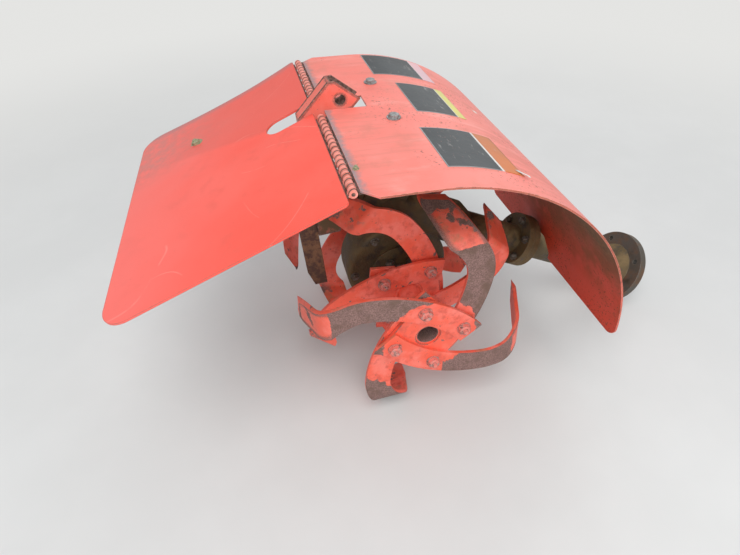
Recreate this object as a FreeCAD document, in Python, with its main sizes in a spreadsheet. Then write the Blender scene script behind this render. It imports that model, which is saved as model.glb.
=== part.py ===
import FreeCAD, Part
import Sketcher
import math
import operator
import os

from FreeCAD import Placement, Rotation, Vector

# Rotary tiller attachment with a central gear case, in millimetres and degrees.
# The origin is the centre of the coupling flange's face, +Y runs forward along the machine,
# +X is its right side and +Z is up. It is drawn as it parks: on its tines and on the rim
# of the coupling flange, with the hood's top level.

doc = FreeCAD.newDocument("RotaryTiller")
sheet = doc.addObject("Spreadsheet::Sheet", "Sizes")

# Driving sizes: name, value, meaning
SIZES = [
    ("hood_width", 508.0, "width of the hood sheet"),
    ("hood_shift", 31.0, "middle of the hood, to the right of the drive"),
    ("hood_gauge", 3.0, "thickness of the hood sheet"),
    ("hood_flat", 98.0, "level top, hinge line to the start of the curve"),
    ("hood_radius", 356.0, "outside radius of the hood's curve"),
    ("hood_drop", 345.0, "hinge line down to the front edge"),
    ("hood_setback", 8.5, "hinge line to the sheet's rear edge"),
    ("hood_trim", 20.0, "corner cut beside the hinge"),
    ("hood_corner", 22.0, "corner radius at the front edge"),
    ("neck_gap_width", 106.0, "cut-out in the front wall for the neck"),
    ("neck_gap_height", 38.0, "height of that cut-out"),
    ("bracket_gap_width", 44.0, "notch in the hood for the depth bracket"),
    ("bracket_gap_length", 76.0, "length of that notch from the hinge line"),
    ("hinge_back", 132.0, "hinge line behind the rotor axis"),
    ("hinge_up", 320.0, "hinge line above the rotor axis"),
    ("pin_radius", 2.4, "hinge pin"),
    ("pin_play", 0.08, "radial play of the pin in a knuckle"),
    ("knuckle_radius", 5.6, "outside of a hinge knuckle"),
    ("knuckle_pitch", 12.7, "one knuckle and its share of the gap"),
    ("knuckle_gap", 0.4, "gap between two knuckles"),
    ("right_pairs", 9, "knuckle pairs on the right length of hinge"),
    ("left_pairs", 7, "knuckle pairs on the left length"),
    ("leaf_gauge", 2.0, "thickness of a hinge leaf"),
    ("leaf_width", 30.0, "hinge line to a leaf's edge"),
    ("leaf_start", 6.6, "hinge line to the leaf's straight strip"),
    ("right_hinge_start", 7.0, "middle of the hood to the right length"),
    ("left_hinge_start", 65.0, "middle of the hood to the left length"),
    ("flap_length", 345.0, "hinge line to the middle of the flap's lower edge"),
    ("flap_skew", 12.0, "right end of the lower edge below its middle"),
    ("flap_gauge", 3.0, "thickness of the flap sheet"),
    ("flap_droop", 23.7, "slope of the flap as it is found"),
    ("flap_corner", 42.0, "corner radius at the lower edge"),
    ("flap_trim", 4.0, "corner cut beside the hinge"),
    ("flap_slot_width", 42.0, "slot round the depth bracket"),
    ("flap_slot_length", 88.0, "hinge line to the slot's round end"),
    ("case_radius", 98.0, "round wheel case"),
    ("case_half_width", 38.0, "half the width of the wheel case"),
    ("case_round", 9.0, "rounding of the wheel case's rims"),
    ("drive_rise", 110.0, "drive axis above the rotor axis, square to it"),
    ("drive_reach", 550.0, "rotor axis to the flange's face, along the drive"),
    ("barrel_radius", 42.0, "worm barrel on the wheel case"),
    ("barrel_back", 130.0, "worm barrel behind the rotor axis"),
    ("neck_radius", 28.0, "neck from the barrel to the collar"),
    ("neck_start", 78.0, "rotor axis to the barrel's front end"),
    ("neck_length", 248.0, "rotor axis to the neck's collar joint"),
    ("collar_radius", 54.0, "collar where the neck meets the drive housing"),
    ("collar_width", 14.0, "thickness of each collar"),
    ("housing_radius", 30.0, "drive housing tube"),
    ("housing_foot", 52.0, "drive housing's foot behind the flange"),
    ("flange_radius", 80.0, "coupling flange"),
    ("flange_width", 16.0, "thickness of the coupling flange"),
    ("flange_bolt_circle", 130.0, "circle of the flange's bolt holes"),
    ("flange_bolt_hole", 5.5, "radius of a flange bolt hole"),
    ("flange_bolts", 4, "bolt holes in the flange"),
    ("socket_radius", 24.0, "open socket round the input shaft"),
    ("input_radius", 12.7, "input shaft"),
    ("input_proud", 30.0, "input shaft past the flange's face"),
    ("cap_radius", 52.0, "bearing cap on the wheel case"),
    ("cap_width", 9.0, "thickness of a bearing cap"),
    ("cap_nose_radius", 36.0, "flat front of a bearing cap"),
    ("worm_cap_radius", 38.0, "cap behind the worm barrel"),
    ("worm_cap_width", 9.0, "thickness of that cap"),
    ("shaft_radius", 17.4, "tine shaft"),
    ("shaft_play", 0.1, "radial play of the tine shaft in a cap"),
    ("shaft_room", 2.0, "radial room for the tine shaft in the case"),
    ("shaft_end", 172.0, "middle of the machine to the shaft's end"),
    ("hub_bore", 17.5, "radius of a hub tube's bore"),
    ("hub_mouth", 18.0, "radius of its open mouth, past the shaft's end"),
    ("hub_radius", 22.0, "outside radius of a hub tube"),
    ("hub_play", 0.1, "radial play of a hub tube in its plates"),
    ("hub_start", 84.0, "middle of the machine to a hub tube"),
    ("hub_flush", 3.0, "outer plate's face back to the tube's mouth"),
    ("inner_plate_at", 108.0, "middle of the machine to an inner plate"),
    ("outer_plate_at", 220.0, "middle of the machine to an outer plate"),
    ("plate_gauge", 8.0, "thickness of a tine plate"),
    ("plate_margin", 17.0, "bolt centre to the plate's edge"),
    ("bolt_square", 86.0, "side of the square of tine bolts"),
    ("bolt_hole", 6.7, "radius of a tine bolt hole"),
    ("tine_width", 46.0, "width of the tine bar"),
    ("tine_gauge", 6.0, "thickness of the tine bar"),
    ("tine_seat", 46.5, "rotor axis to the middle of a tine's pad"),
    ("tine_tail", 66.0, "middle of the pad to the tine's tail"),
    ("arm_radius", 260.0, "gentle curve of the tine's arm"),
    ("arm_reach", 134.0, "middle of the pad to the end of that curve"),
    ("hook_radius", 83.6, "tight curve after the arm, seen along the rotor"),
    ("hook_turn", 65.5, "turn of the tight curve"),
    ("tip_run", 35.0, "end of the tight curve to the tip, seen along the rotor"),
    ("tip_round", 4.5, "radius of the tip's end, seen along the rotor"),
    ("fold_slant", 40.0, "direction of the fold, below the pad's level"),
    ("outer_fold_reach", 134.0, "rotor axis to the start of an outer tine's fold"),
    ("outer_fold_turn", 71.0, "turn of that fold"),
    ("outer_fold_radius", 44.0, "inside radius of that fold"),
    ("inner_fold_reach", 163.0, "rotor axis to the start of an inner tine's fold"),
    ("inner_fold_turn", 60.0, "turn of that fold"),
    ("inner_fold_radius", 10.0, "inside radius of that fold"),
    ("holder_stagger", 43.0, "turn from a holder to its neighbour"),
    ("side_stagger", 28.0, "turn from the right side's tines to the left's"),
    ("saddle_width", 190.0, "saddle between hood and gear case"),
    ("saddle_depth", 40.0, "saddle from front to back"),
    ("saddle_gauge", 6.0, "thickness of the saddle's plate"),
    ("saddle_at", 110.0, "hinge line to the saddle's middle"),
    ("saddle_leg", 30.0, "foot of the saddle's leg above the drive axis"),
    ("boss_width", 60.0, "block on the barrel, between the saddle's legs"),
    ("boss_height", 58.0, "top of that block above the drive axis"),
    ("boss_front", 50.0, "front of that block behind the rotor axis"),
    ("lug_width", 22.0, "lug on the worm cap, between the bracket's cheeks"),
    ("lug_length", 46.0, "length of that lug"),
    ("lug_height", 34.0, "height of that lug"),
    ("bracket_gauge", 4.0, "thickness of the depth bracket"),
    ("bracket_rear", 34.0, "hinge line to the bracket's rear face"),
    ("bracket_rake", 5.1, "slope of the bracket, its foot forward"),
    ("bracket_foot", 235.0, "bottom of the bracket below the hinge line"),
    ("bracket_bend", 12.0, "bend of the bracket below the hinge line"),
    ("bracket_top", 38.0, "top of the bracket above the hinge line"),
    ("bracket_lean", 54.0, "forward lean of the bracket's top"),
    ("bracket_brow", 11.0, "level top edge of a cheek"),
    ("cheek_tip", 102.0, "rear face to the cheek's forward tip"),
    ("cheek_tip_up", 5.0, "cheek's tip above the hinge line"),
    ("cheek_under", 8.0, "cheek's lower edge below the hinge line"),
    ("cheek_depth", 40.0, "cheek's depth below the hood"),
    ("arm_height", 54.0, "height of the cheek's arm at the worm cap"),
    ("lever_hole", 8.25, "radius of the hole for the depth lever"),
    ("lever_hole_at", 70.0, "rear face to the lever hole"),
    ("lever_hole_up", 9.0, "lever hole above the hinge line"),
    ("bar_width", 34.0, "depth bar from front to back"),
    ("bar_gauge", 16.0, "thickness of the depth bar"),
    ("bar_top", 120.0, "top of the depth bar below the hinge line"),
    ("bar_length", 234.0, "length of the depth bar"),
    ("bar_toe", 24.0, "width of the depth bar's worn end"),
]

for row, (name, value, meaning) in enumerate(SIZES, start=1):
    sheet.set(f"A{row}", name)
    sheet.set(f"B{row}", f"{value:g}")
    sheet.setAlias(f"B{row}", name)
    sheet.set(f"C{row}", meaning)
doc.recompute()


class Dim:
    """A size: its number now, and the expression that keeps it tied to the sheet."""

    SIGNS = {"+": operator.add, "-": operator.sub, "*": operator.mul, "/": operator.truediv}

    def __init__(self, value, text):
        self.value = float(value)
        self.text = text

    def join(self, sign, other, turned=False):
        other = other if isinstance(other, Dim) else Dim(other, f"{other:g}")
        left, right = (other, self) if turned else (self, other)
        value = self.SIGNS[sign](left.value, right.value)
        return Dim(value, f"({left.text} {sign} {right.text})")

    def __add__(self, other):
        return self.join("+", other)

    def __radd__(self, other):
        return self.join("+", other, turned=True)

    def __sub__(self, other):
        return self.join("-", other)

    def __rsub__(self, other):
        return self.join("-", other, turned=True)

    def __mul__(self, other):
        return self.join("*", other)

    def __rmul__(self, other):
        return self.join("*", other, turned=True)

    def __truediv__(self, other):
        return self.join("/", other)

    def __neg__(self):
        return self.join("-", 0, turned=True)


def size(name):
    """The named cell of the sheet, as a Dim."""
    return Dim(sheet.get(name), f"Sizes.{name}")


def root(inner):
    return Dim(math.sqrt(inner.value), f"sqrt({inner.text})")


def sine(angle):
    return Dim(math.sin(math.radians(angle.value)), f"sin({angle.text})")


def cosine(angle):
    return Dim(math.cos(math.radians(angle.value)), f"cos({angle.text})")


NOUGHT = Dim(0, "0")


def number(name):
    """The named cell's value alone, for shapes that are worked out here."""
    return float(sheet.get(name))


def polar(centre, radius, degrees):
    """A point on a circle in the bar's own plane."""
    turn = math.radians(degrees)
    return (centre[0] + radius * math.cos(turn), centre[1] + radius * math.sin(turn))


# One tine, drawn flat with its pad's middle above the rotor axis. Its plane has u to the
# side that the tine runs to and v away from the axis; the pad is centred on u = 0.


def flat_point(u, v, depth=0.0):
    """The bar's plane in the machine: u runs to -Y, v to +Z, depth to +X."""
    return Vector(depth, -u, v)


def bar_arc(centre, radius, start, end):
    points = [flat_point(*polar(centre, radius, at)) for at in (start, (start + end) / 2, end)]
    return Part.Arc(*points).toShape()


def tine_solid(side, holder):
    """A curved flat bar, its end rolled over to the given side of X about a slanted line."""
    half = number("tine_width") / 2
    gauge = number("tine_gauge")
    arm = number("arm_radius")
    hook = number("hook_radius")
    arm_centre = (0.0, number("tine_seat") - arm)
    tail_at = 90 + math.degrees(math.asin(number("tine_tail") / arm))
    join_at = 90 - math.degrees(math.asin(number("arm_reach") / arm))
    hook_centre = polar(polar(arm_centre, arm, join_at), -hook, join_at)
    hook_at = join_at - number("hook_turn")

    # Its outline, seen along the rotor
    tip = polar(polar(hook_centre, hook, hook_at), number("tip_run"), hook_at - 90)
    outer_end = polar(hook_centre, hook + half, hook_at)
    inner_end = polar(hook_centre, hook - half, hook_at)
    outer_tip = polar(tip, number("tip_round"), hook_at)
    inner_tip = polar(tip, -number("tip_round"), hook_at)
    edges = [
        bar_arc(arm_centre, arm + half, tail_at, join_at),
        bar_arc(hook_centre, hook + half, join_at, hook_at),
        Part.makeLine(flat_point(*outer_end), flat_point(*outer_tip)),
        bar_arc(tip, number("tip_round"), hook_at, hook_at - 180),
        Part.makeLine(flat_point(*inner_tip), flat_point(*inner_end)),
        bar_arc(hook_centre, hook - half, hook_at, join_at),
        bar_arc(arm_centre, arm - half, join_at, tail_at),
    ]
    first = edges[0].Vertexes[0].Point
    last = edges[-1].Vertexes[-1].Point
    edges.append(Part.makeLine(last, first))
    outline = Part.Face(Part.Wire(Part.__sortEdges__(edges)))

    tine = outline.extrude(Vector(arm * side, 0, 0)).common(rolled_plate(side, holder))
    bolt_at = number("bolt_square") / 2
    for u in (-bolt_at, bolt_at):
        start = flat_point(u, bolt_at, -gauge * 2)
        tine = tine.cut(Part.makeCylinder(number("bolt_hole"), gauge * 4, start, Vector(1, 0, 0)))
    return tine


def rolled_plate(side, holder):
    """The plate that a tine is cut from: flat, then rolled over, then flat again."""
    gauge = number("tine_gauge")
    inside = number(f"{holder}_fold_radius")
    outside = inside + gauge
    turn = number(f"{holder}_fold_turn")
    far = number("arm_radius") * 2
    ahead = polar((0.0, 0.0), 1.0, -number("fold_slant"))
    reach = number(f"{holder}_fold_reach")

    def section(along, depth):
        return flat_point(ahead[0] * (reach + along), ahead[1] * (reach + along), depth * side)

    def roll(radius, share):
        at = polar((0.0, gauge + inside), radius, -90 + turn * share)
        return section(*at)

    inner_far = polar(polar((0.0, gauge + inside), inside, turn - 90), far, turn)
    outer_far = polar(polar((0.0, gauge + inside), outside, turn - 90), far, turn)
    edges = [
        Part.makeLine(section(-far, 0), section(0, 0)),
        Part.Arc(roll(outside, 0), roll(outside, 0.5), roll(outside, 1)).toShape(),
        Part.makeLine(roll(outside, 1), section(*outer_far)),
        Part.makeLine(section(*outer_far), section(*inner_far)),
        Part.makeLine(section(*inner_far), roll(inside, 1)),
        Part.Arc(roll(inside, 1), roll(inside, 0.5), roll(inside, 0)).toShape(),
        Part.makeLine(section(0, gauge), section(-far, gauge)),
        Part.makeLine(section(-far, gauge), section(-far, 0)),
    ]
    across = flat_point(-ahead[1] * far, ahead[0] * far)
    face = Part.Face(Part.Wire(Part.__sortEdges__(edges)))
    face.translate(-across)
    return face.extrude(across * 2)


def outermost(shape):
    """The distance and direction from the rotor axis of a shape's furthest corner."""
    corner = max((vertex.Point for vertex in shape.Vertexes), key=lambda p: math.hypot(p.y, p.z))
    return math.hypot(corner.y, corner.z), math.degrees(math.atan2(corner.z, corner.y))


# The rotor stands on the furthest corners of two tines, one from each side
corner_reach, corner_at = outermost(tine_solid(1, "outer"))
stagger = number("side_stagger")
right_outer = 270 - stagger / 2 - corner_at
right_inner = right_outer + number("holder_stagger")
left_outer = right_outer + stagger
left_inner = right_inner + stagger

# Tine sets: node, side of the machine, holder, first pad's angle
TINE_SETS = [
    ("tines_right_outer", 1, "outer", right_outer),
    ("tines_right_inner", 1, "inner", right_inner),
    ("tines_left_outer", -1, "outer", left_outer),
    ("tines_left_inner", -1, "inner", left_inner),
]


def tine_set(machine_side, holder, first_pad):
    """Four tines a quarter turn apart, in turn on the outer and the inner face of their plate.
    All are rolled over towards the middle of the machine."""
    shapes = []
    fold_side = -machine_side
    for index in range(4):
        face_side = machine_side if index % 2 == 0 else -machine_side
        depth = machine_side * number(f"{holder}_plate_at") + face_side * number("plate_gauge") / 2
        if face_side != fold_side:
            depth += face_side * number("tine_gauge")
        tine = tine_solid(fold_side, holder)
        tine.translate(Vector(depth, 0, 0))
        tine.rotate(Vector(), Vector(1, 0, 0), first_pad - 90 + 90 * index)
        shapes.append(tine)
    return Part.makeCompound(shapes)


tine_shapes = {row[0]: tine_set(*row[1:]) for row in TINE_SETS}
rotor_height = -min(
    shape.optimalBoundingBox(False).ZMin for shape in tine_shapes.values()
)

# Derived places: name, formula. The drive slopes down until the flange's rim is level
# with the lowest tine. The lug is where the worm cap carries the depth bracket.
DERIVED = [
    ("rotor_height", f"{rotor_height:.6f}"),
    ("drive_lift", "=drive_rise - flange_radius"),
    ("drive_run", "=sqrt(drive_reach * drive_reach + drive_lift * drive_lift)"),
    ("drive_slope", "=(asin(rotor_height / drive_run) + atan(drive_lift / drive_reach)) / 1 deg"),
    ("rotor_y", "=-drive_reach * cos(drive_slope) - drive_rise * sin(drive_slope)"),
    ("rotor_z", "=drive_reach * sin(drive_slope) - drive_rise * cos(drive_slope)"),
    ("hinge_y", "=rotor_y - hinge_back"),
    ("hinge_z", "=rotor_z + hinge_up"),
    ("lug_back", "=barrel_back + worm_cap_width + lug_length / 2"),
    ("lug_y", "=hinge_back + bracket_rear - lug_back * cos(drive_slope) + drive_rise * sin(drive_slope)"),
    ("lug_z", "=lug_back * sin(drive_slope) + drive_rise * cos(drive_slope) - hinge_up"),
    ("arm_y", "=lug_y * cos(bracket_rake) + lug_z * sin(bracket_rake)"),
    ("arm_z", "=lug_z * cos(bracket_rake) - lug_y * sin(bracket_rake)"),
]
for row, (name, formula) in enumerate(DERIVED, start=len(SIZES) + 2):
    sheet.set(f"A{row}", name)
    sheet.set(f"B{row}", formula)
    sheet.setAlias(f"B{row}", name)
doc.recompute()


# Ways of making a sub-part

nodes = []


def label(thing, name):
    thing.Label = name
    nodes.append(thing)
    return thing


def put(thing, x=NOUGHT, y=NOUGHT, z=NOUGHT, turn=None):
    """Place a sub-part, turned by the given angle about an axis along X."""
    for axis, at in zip("xyz", (x, y, z)):
        thing.setExpression(f".Placement.Base.{axis}", at.text)
    if turn is not None:
        thing.Placement = Placement(Vector(), Rotation(Vector(1, 0, 0), turn.value))
        thing.setExpression(".Placement.Rotation.Angle", turn.text)
    return thing


def new_body(name):
    return label(doc.addObject("PartDesign::Body", name), name)


def new_sketch(body, plane, lift=None):
    """A sketch on one of the body's own planes: XY, XZ or YZ, lifted along its normal."""
    sketch = body.newObject("Sketcher::SketchObject", body.Label + "_sketch")
    base = next(item for item in body.Origin.OriginFeatures if item.Role == plane + "_Plane")
    sketch.AttachmentSupport = [(base, "")]
    sketch.MapMode = "FlatFace"
    if lift is not None:
        sketch.setExpression("AttachmentOffset.Base.z", lift.text)
    return sketch


def pin_point(sketch, geometry, vertex, x, y):
    """Hold one point of a sketch at its place from the sheet."""
    for kind, at in (("DistanceX", x), ("DistanceY", y)):
        index = sketch.addConstraint(
            Sketcher.Constraint(kind, -1, 1, geometry, vertex, at.value)
        )
        sketch.setExpression(f"Constraints[{index}]", at.text)


def draw_circle(sketch, x, y, radius):
    centre = Vector(x.value, y.value, 0)
    index = sketch.addGeometry(Part.Circle(centre, Vector(0, 0, 1), radius.value))
    pin_point(sketch, index, 3, x, y)
    held = sketch.addConstraint(Sketcher.Constraint("Radius", index, radius.value))
    sketch.setExpression(f"Constraints[{held}]", radius.text)


def draw_outline(sketch, corners):
    """A closed outline. A corner is (x, y) or (x, y, radius): an arc of that radius then
    runs from it to the next corner, bulging to its right, or to its left if side is -1."""
    count = len(corners)
    first = sketch.GeometryCount
    for index, corner in enumerate(corners):
        here = Vector(corner[0].value, corner[1].value, 0)
        ahead = corners[(index + 1) % count]
        there = Vector(ahead[0].value, ahead[1].value, 0)
        if len(corner) == 2:
            sketch.addGeometry(Part.LineSegment(here, there))
        else:
            sketch.addGeometry(arc_between(here, there, corner[2].value, corner[3]))
    for index, corner in enumerate(corners):
        arc = len(corner) == 4
        start = 2 if arc and corner[3] < 0 else 1
        ahead = corners[(index + 1) % count]
        next_start = 2 if len(ahead) == 4 and ahead[3] < 0 else 1
        here = first + index
        there = first + (index + 1) % count
        sketch.addConstraint(Sketcher.Constraint("Coincident", here, 3 - start, there, next_start))
        pin_point(sketch, here, start, corner[0], corner[1])
        if arc:
            held = sketch.addConstraint(Sketcher.Constraint("Radius", here, corner[2].value))
            sketch.setExpression(f"Constraints[{held}]", corner[2].text)


def arc_between(start, end, radius, side):
    """The short arc from start to end: side 1 turns left (anticlockwise), -1 turns right."""
    chord = end - start
    middle = (start + end) * 0.5
    inward = Vector(-chord.y, chord.x, 0).normalize() * side
    centre = middle + inward * math.sqrt(max(radius ** 2 - (chord.Length / 2) ** 2, 0))
    circle = Part.Circle(centre, Vector(0, 0, 1), radius)
    first, last = (start, end) if side > 0 else (end, start)
    angles = [math.atan2(p.y - centre.y, p.x - centre.x) for p in (first, last)]
    if angles[1] < angles[0]:
        angles[1] += 2 * math.pi
    return Part.ArcOfCircle(circle, *angles)


def pad(body, sketch, length, both=False, reverse=False):
    feature = body.newObject("PartDesign::Pad", body.Label + "_pad")
    feature.Profile = sketch
    feature.setExpression("Length", length.text)
    feature.Midplane = both
    feature.Reversed = reverse
    return feature


def pocket(body, sketch, length=None, both=True, reverse=False):
    """Cut a sketch out of a body, right through unless a length is given."""
    feature = body.newObject("PartDesign::Pocket", body.Label + "_pocket")
    feature.Profile = sketch
    if length is None:
        feature.Type = "ThroughAll"
    else:
        feature.setExpression("Length", length.text)
    feature.Midplane = both
    feature.Reversed = reverse
    return feature


def turned(body, axis, corners, lift=None):
    """A solid of revolution: corners of its half-profile, about the sketch's H or V axis."""
    sketch = new_sketch(body, "XY", lift)
    draw_outline(sketch, corners)
    feature = body.newObject("PartDesign::Revolution", body.Label + "_turned")
    feature.Profile = sketch
    feature.ReferenceAxis = (sketch, [axis + "_Axis"])
    feature.Angle = 360
    return feature


def box_outline(left, low, right, high):
    return [(left, low), (right, low), (right, high), (left, high)]


def extruded(body, plane, corners, length, lift=None, both=False, reverse=False):
    sketch = new_sketch(body, plane, lift)
    draw_outline(sketch, corners)
    return pad(body, sketch, length, both, reverse)


def cut_away(body, plane, corners, length=None):
    sketch = new_sketch(body, plane)
    draw_outline(sketch, corners)
    return pocket(body, sketch, length)


def cut_round(body, plane, centre, radius):
    sketch = new_sketch(body, plane)
    draw_circle(sketch, centre[0], centre[1], radius)
    return pocket(body, sketch)


# Gear case, its caps, the drive housing and the coupling flange. Their frame has its
# origin on the rotor axis and +Y along the drive.
rotor_y, rotor_z = size("rotor_y"), size("rotor_z")
nose_down = -size("drive_slope")
rise = size("drive_rise")


def put_on_drive(thing):
    return put(thing, y=rotor_y, z=rotor_z, turn=nose_down)


half_case, case_radius, case_round = size("case_half_width"), size("case_radius"), size("case_round")
barrel, barrel_back, neck = size("barrel_radius"), size("barrel_back"), size("neck_radius")
neck_length, neck_start = size("neck_length"), size("neck_start")
collar, collar_width = size("collar_radius"), size("collar_width")
shaft = size("shaft_radius")

case = put_on_drive(new_body("gear_case"))
turned(case, "H", [
    (-half_case, NOUGHT),
    (half_case, NOUGHT),
    (half_case, case_radius - case_round, case_round, 1),
    (half_case - case_round, case_radius),
    (case_round - half_case, case_radius, case_round, 1),
    (-half_case, case_radius - case_round),
])
turned(case, "V", [
    (NOUGHT, -barrel_back),
    (barrel, -barrel_back),
    (barrel, neck_start),
    (neck, neck_start + (barrel - neck) * 2),
    (neck, neck_length - collar_width),
    (collar, neck_length - collar_width),
    (collar, neck_length),
    (NOUGHT, neck_length),
], lift=rise)
boss_side = size("boss_width") / 2
extruded(case, "YZ", box_outline(
    -barrel_back,
    rise,
    -size("boss_front"),
    rise + size("boss_height"),
), boss_side * 2, both=True)
cut_round(case, "YZ", (NOUGHT, NOUGHT), shaft + size("shaft_room"))

worm_cap = put_on_drive(new_body("worm_cap"))
cap_face = -barrel_back - size("worm_cap_width")
turned(worm_cap, "V", [
    (NOUGHT, cap_face),
    (size("worm_cap_radius"), cap_face),
    (size("worm_cap_radius"), -barrel_back),
    (NOUGHT, -barrel_back),
], lift=rise)
extruded(worm_cap, "YZ", box_outline(
    cap_face - size("lug_length"),
    rise - size("lug_height") / 2,
    cap_face,
    rise + size("lug_height") / 2,
), size("lug_width"), both=True)

for side, side_name in ((1, "right"), (-1, "left")):
    cap = put_on_drive(new_body(f"bearing_cap_{side_name}"))
    cap_end = (half_case + size("cap_width")) * side
    turned(cap, "H", [
        (half_case * side, shaft + size("shaft_play")),
        (cap_end, shaft + size("shaft_play")),
        (cap_end, size("cap_nose_radius")),
        (cap_end - size("cap_width") / 2 * side, size("cap_radius")),
        (half_case * side, size("cap_radius")),
    ])

housing = put_on_drive(new_body("drive_housing"))
reach, flange_width = size("drive_reach"), size("flange_width")
tube, tube_foot = size("housing_radius"), size("housing_foot")
turned(housing, "V", [
    (NOUGHT, neck_length),
    (collar, neck_length),
    (collar, neck_length + collar_width),
    (tube, neck_length + collar_width * 2),
    (tube, reach - flange_width - collar_width),
    (tube_foot, reach - flange_width),
    (NOUGHT, reach - flange_width),
], lift=rise)

flange = put_on_drive(new_body("coupling_flange"))
socket = size("socket_radius")
turned(flange, "V", [
    (socket, reach - flange_width),
    (size("flange_radius"), reach - flange_width),
    (size("flange_radius"), reach),
    (socket, reach),
], lift=rise)
holes = new_sketch(flange, "XZ", -reach)
for index in range(int(number("flange_bolts"))):
    angle = Dim(45, "45") + index * Dim(360, "360") / size("flange_bolts")
    across = size("flange_bolt_circle") / 2 * cosine(angle)
    above = rise + size("flange_bolt_circle") / 2 * sine(angle)
    draw_circle(holes, across, above, size("flange_bolt_hole"))
pocket(flange, holes)

input_shaft = put_on_drive(new_body("input_shaft"))
input_radius = size("input_radius")
input_end = reach + size("input_proud")
turned(input_shaft, "V", [
    (NOUGHT, reach - flange_width),
    (input_radius, reach - flange_width),
    (input_radius, input_end - 2),
    (input_radius - 2, input_end),
    (NOUGHT, input_end),
], lift=rise)

# Hood: one sheet, level and then curved down to its front edge
hinge_y, hinge_z = size("hinge_y"), size("hinge_z")


def put_on_hinge(thing, turn=None):
    return put(thing, x=size("hood_shift"), y=hinge_y, z=hinge_z, turn=turn)


half_width, gauge = size("hood_width") / 2, size("hood_gauge")
flat, radius, drop = size("hood_flat"), size("hood_radius"), size("hood_drop")
setback, leaf_half = size("hood_setback"), size("leaf_gauge") / 2
curve_low = radius - gauge - leaf_half - drop
inner_radius = radius - gauge
outer_foot = flat + root(radius * radius - curve_low * curve_low)
inner_foot = flat + root(inner_radius * inner_radius - curve_low * curve_low)

hood = put_on_hinge(new_body("hood"))
extruded(hood, "YZ", [
    (setback, leaf_half),
    (flat, leaf_half, inner_radius, -1),
    (inner_foot, -drop),
    (outer_foot, -drop, radius, 1),
    (flat, leaf_half + gauge),
    (setback, leaf_half + gauge),
], half_width * 2, both=True)
aside = -size("hood_shift")
gap_side, gap_top = size("neck_gap_width") / 2, size("neck_gap_height") - drop
cut_away(hood, "XZ", [
    (aside - gap_side, -drop - gauge),
    (aside + gap_side, -drop - gauge),
    (aside + gap_side, gap_top - gap_side / 2),
    (aside + gap_side / 2, gap_top),
    (aside - gap_side / 2, gap_top),
    (aside - gap_side, gap_top - gap_side / 2),
])
notch_side = size("bracket_gap_width") / 2
cut_away(hood, "XY", box_outline(aside - notch_side, NOUGHT, aside + notch_side, size("bracket_gap_length")))
trim, round_corner = size("hood_trim"), size("hood_corner")
for side in (1, -1):
    cut_away(hood, "XY", [
        (half_width * side, setback + trim),
        ((half_width - trim) * side, setback),
        ((half_width - trim) * side, NOUGHT),
        ((half_width + trim) * side, NOUGHT),
        ((half_width + trim) * side, setback + trim),
    ])
    cut_away(hood, "XZ", [
        ((half_width - round_corner) * side, -drop - gauge),
        ((half_width + gauge) * side, -drop - gauge),
        ((half_width + gauge) * side, round_corner - drop),
        (half_width * side, round_corner - drop, round_corner, -side),
        ((half_width - round_corner) * side, -drop),
    ])

# Saddle: an inverted channel bolted under the hood and to the sides of the barrel
saddle = put(new_body("hood_saddle"), y=hinge_y + size("saddle_at"), z=hinge_z)
saddle_side, plate = size("saddle_width") / 2, size("saddle_gauge")
leg_behind = size("hinge_back") - size("saddle_at") + size("saddle_depth") / 2
slope = size("drive_slope")
leg_foot = rotor_z + (rise + size("saddle_leg") + leg_behind * sine(slope)) / cosine(slope) - hinge_z
extruded(saddle, "XZ", [
    (-saddle_side, leaf_half - plate),
    (-boss_side - plate, leaf_half - plate),
    (-boss_side - plate, leg_foot),
    (-boss_side, leg_foot),
    (-boss_side, leaf_half - plate),
    (boss_side, leaf_half - plate),
    (boss_side, leg_foot),
    (boss_side + plate, leg_foot),
    (boss_side + plate, leaf_half - plate),
    (saddle_side, leaf_half - plate),
    (saddle_side, leaf_half),
    (-saddle_side, leaf_half),
], size("saddle_depth"), both=True)
bend_at, saddle_front = flat - size("saddle_at"), size("saddle_depth")
hood_falls = inner_radius - root(inner_radius * inner_radius - (saddle_front - bend_at) * (saddle_front - bend_at))
cut_away(saddle, "YZ", [
    (bend_at, leaf_half, inner_radius, -1),
    (saddle_front, leaf_half - hood_falls),
    (saddle_front, leaf_half + plate),
    (bend_at, leaf_half + plate),
])

# Depth bracket: a channel that stands through the hood, with the empty hole of its lever
rake = size("bracket_rake")


def put_on_bracket(thing):
    return put(thing, y=hinge_y - size("bracket_rear"), z=hinge_z, turn=rake)


bracket = put_on_bracket(new_body("depth_bracket"))
web = size("bracket_gauge")
foot, bend = size("bracket_foot"), size("bracket_bend")
top, lean, brow = size("bracket_top"), size("bracket_lean"), size("bracket_brow")
arm_y, arm_z, arm_half = size("arm_y"), size("arm_z"), size("arm_height") / 2
tip, tip_up, under = size("cheek_tip"), size("cheek_tip_up"), size("cheek_under")
cheek = size("cheek_depth")
extruded(bracket, "YZ", [
    (NOUGHT, -foot),
    (cheek, -foot),
    (arm_y + 2, arm_z - arm_half),
    (arm_y + 12, arm_z),
    (arm_y + 6, arm_z + arm_half),
    (cheek, arm_z + arm_half * 2),
    (cheek + 12, -under * 2),
    (tip - 14, -under),
    (tip, tip_up),
    (lean + brow, top),
    (lean, top),
    (NOUGHT, -bend),
], size("lug_width") + web * 2, both=True)
cut_away(bracket, "YZ", [
    (web, -foot * 2),
    (tip * 2, -foot * 2),
    (tip * 2, top * 2),
    (lean / (top + bend) * (top * 2 + bend) + web * 1.2, top * 2),
    (web, -bend - web / 3),
], size("lug_width"))
cut_round(bracket, "YZ", (size("lever_hole_at"), size("lever_hole_up")), size("lever_hole"))

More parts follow.
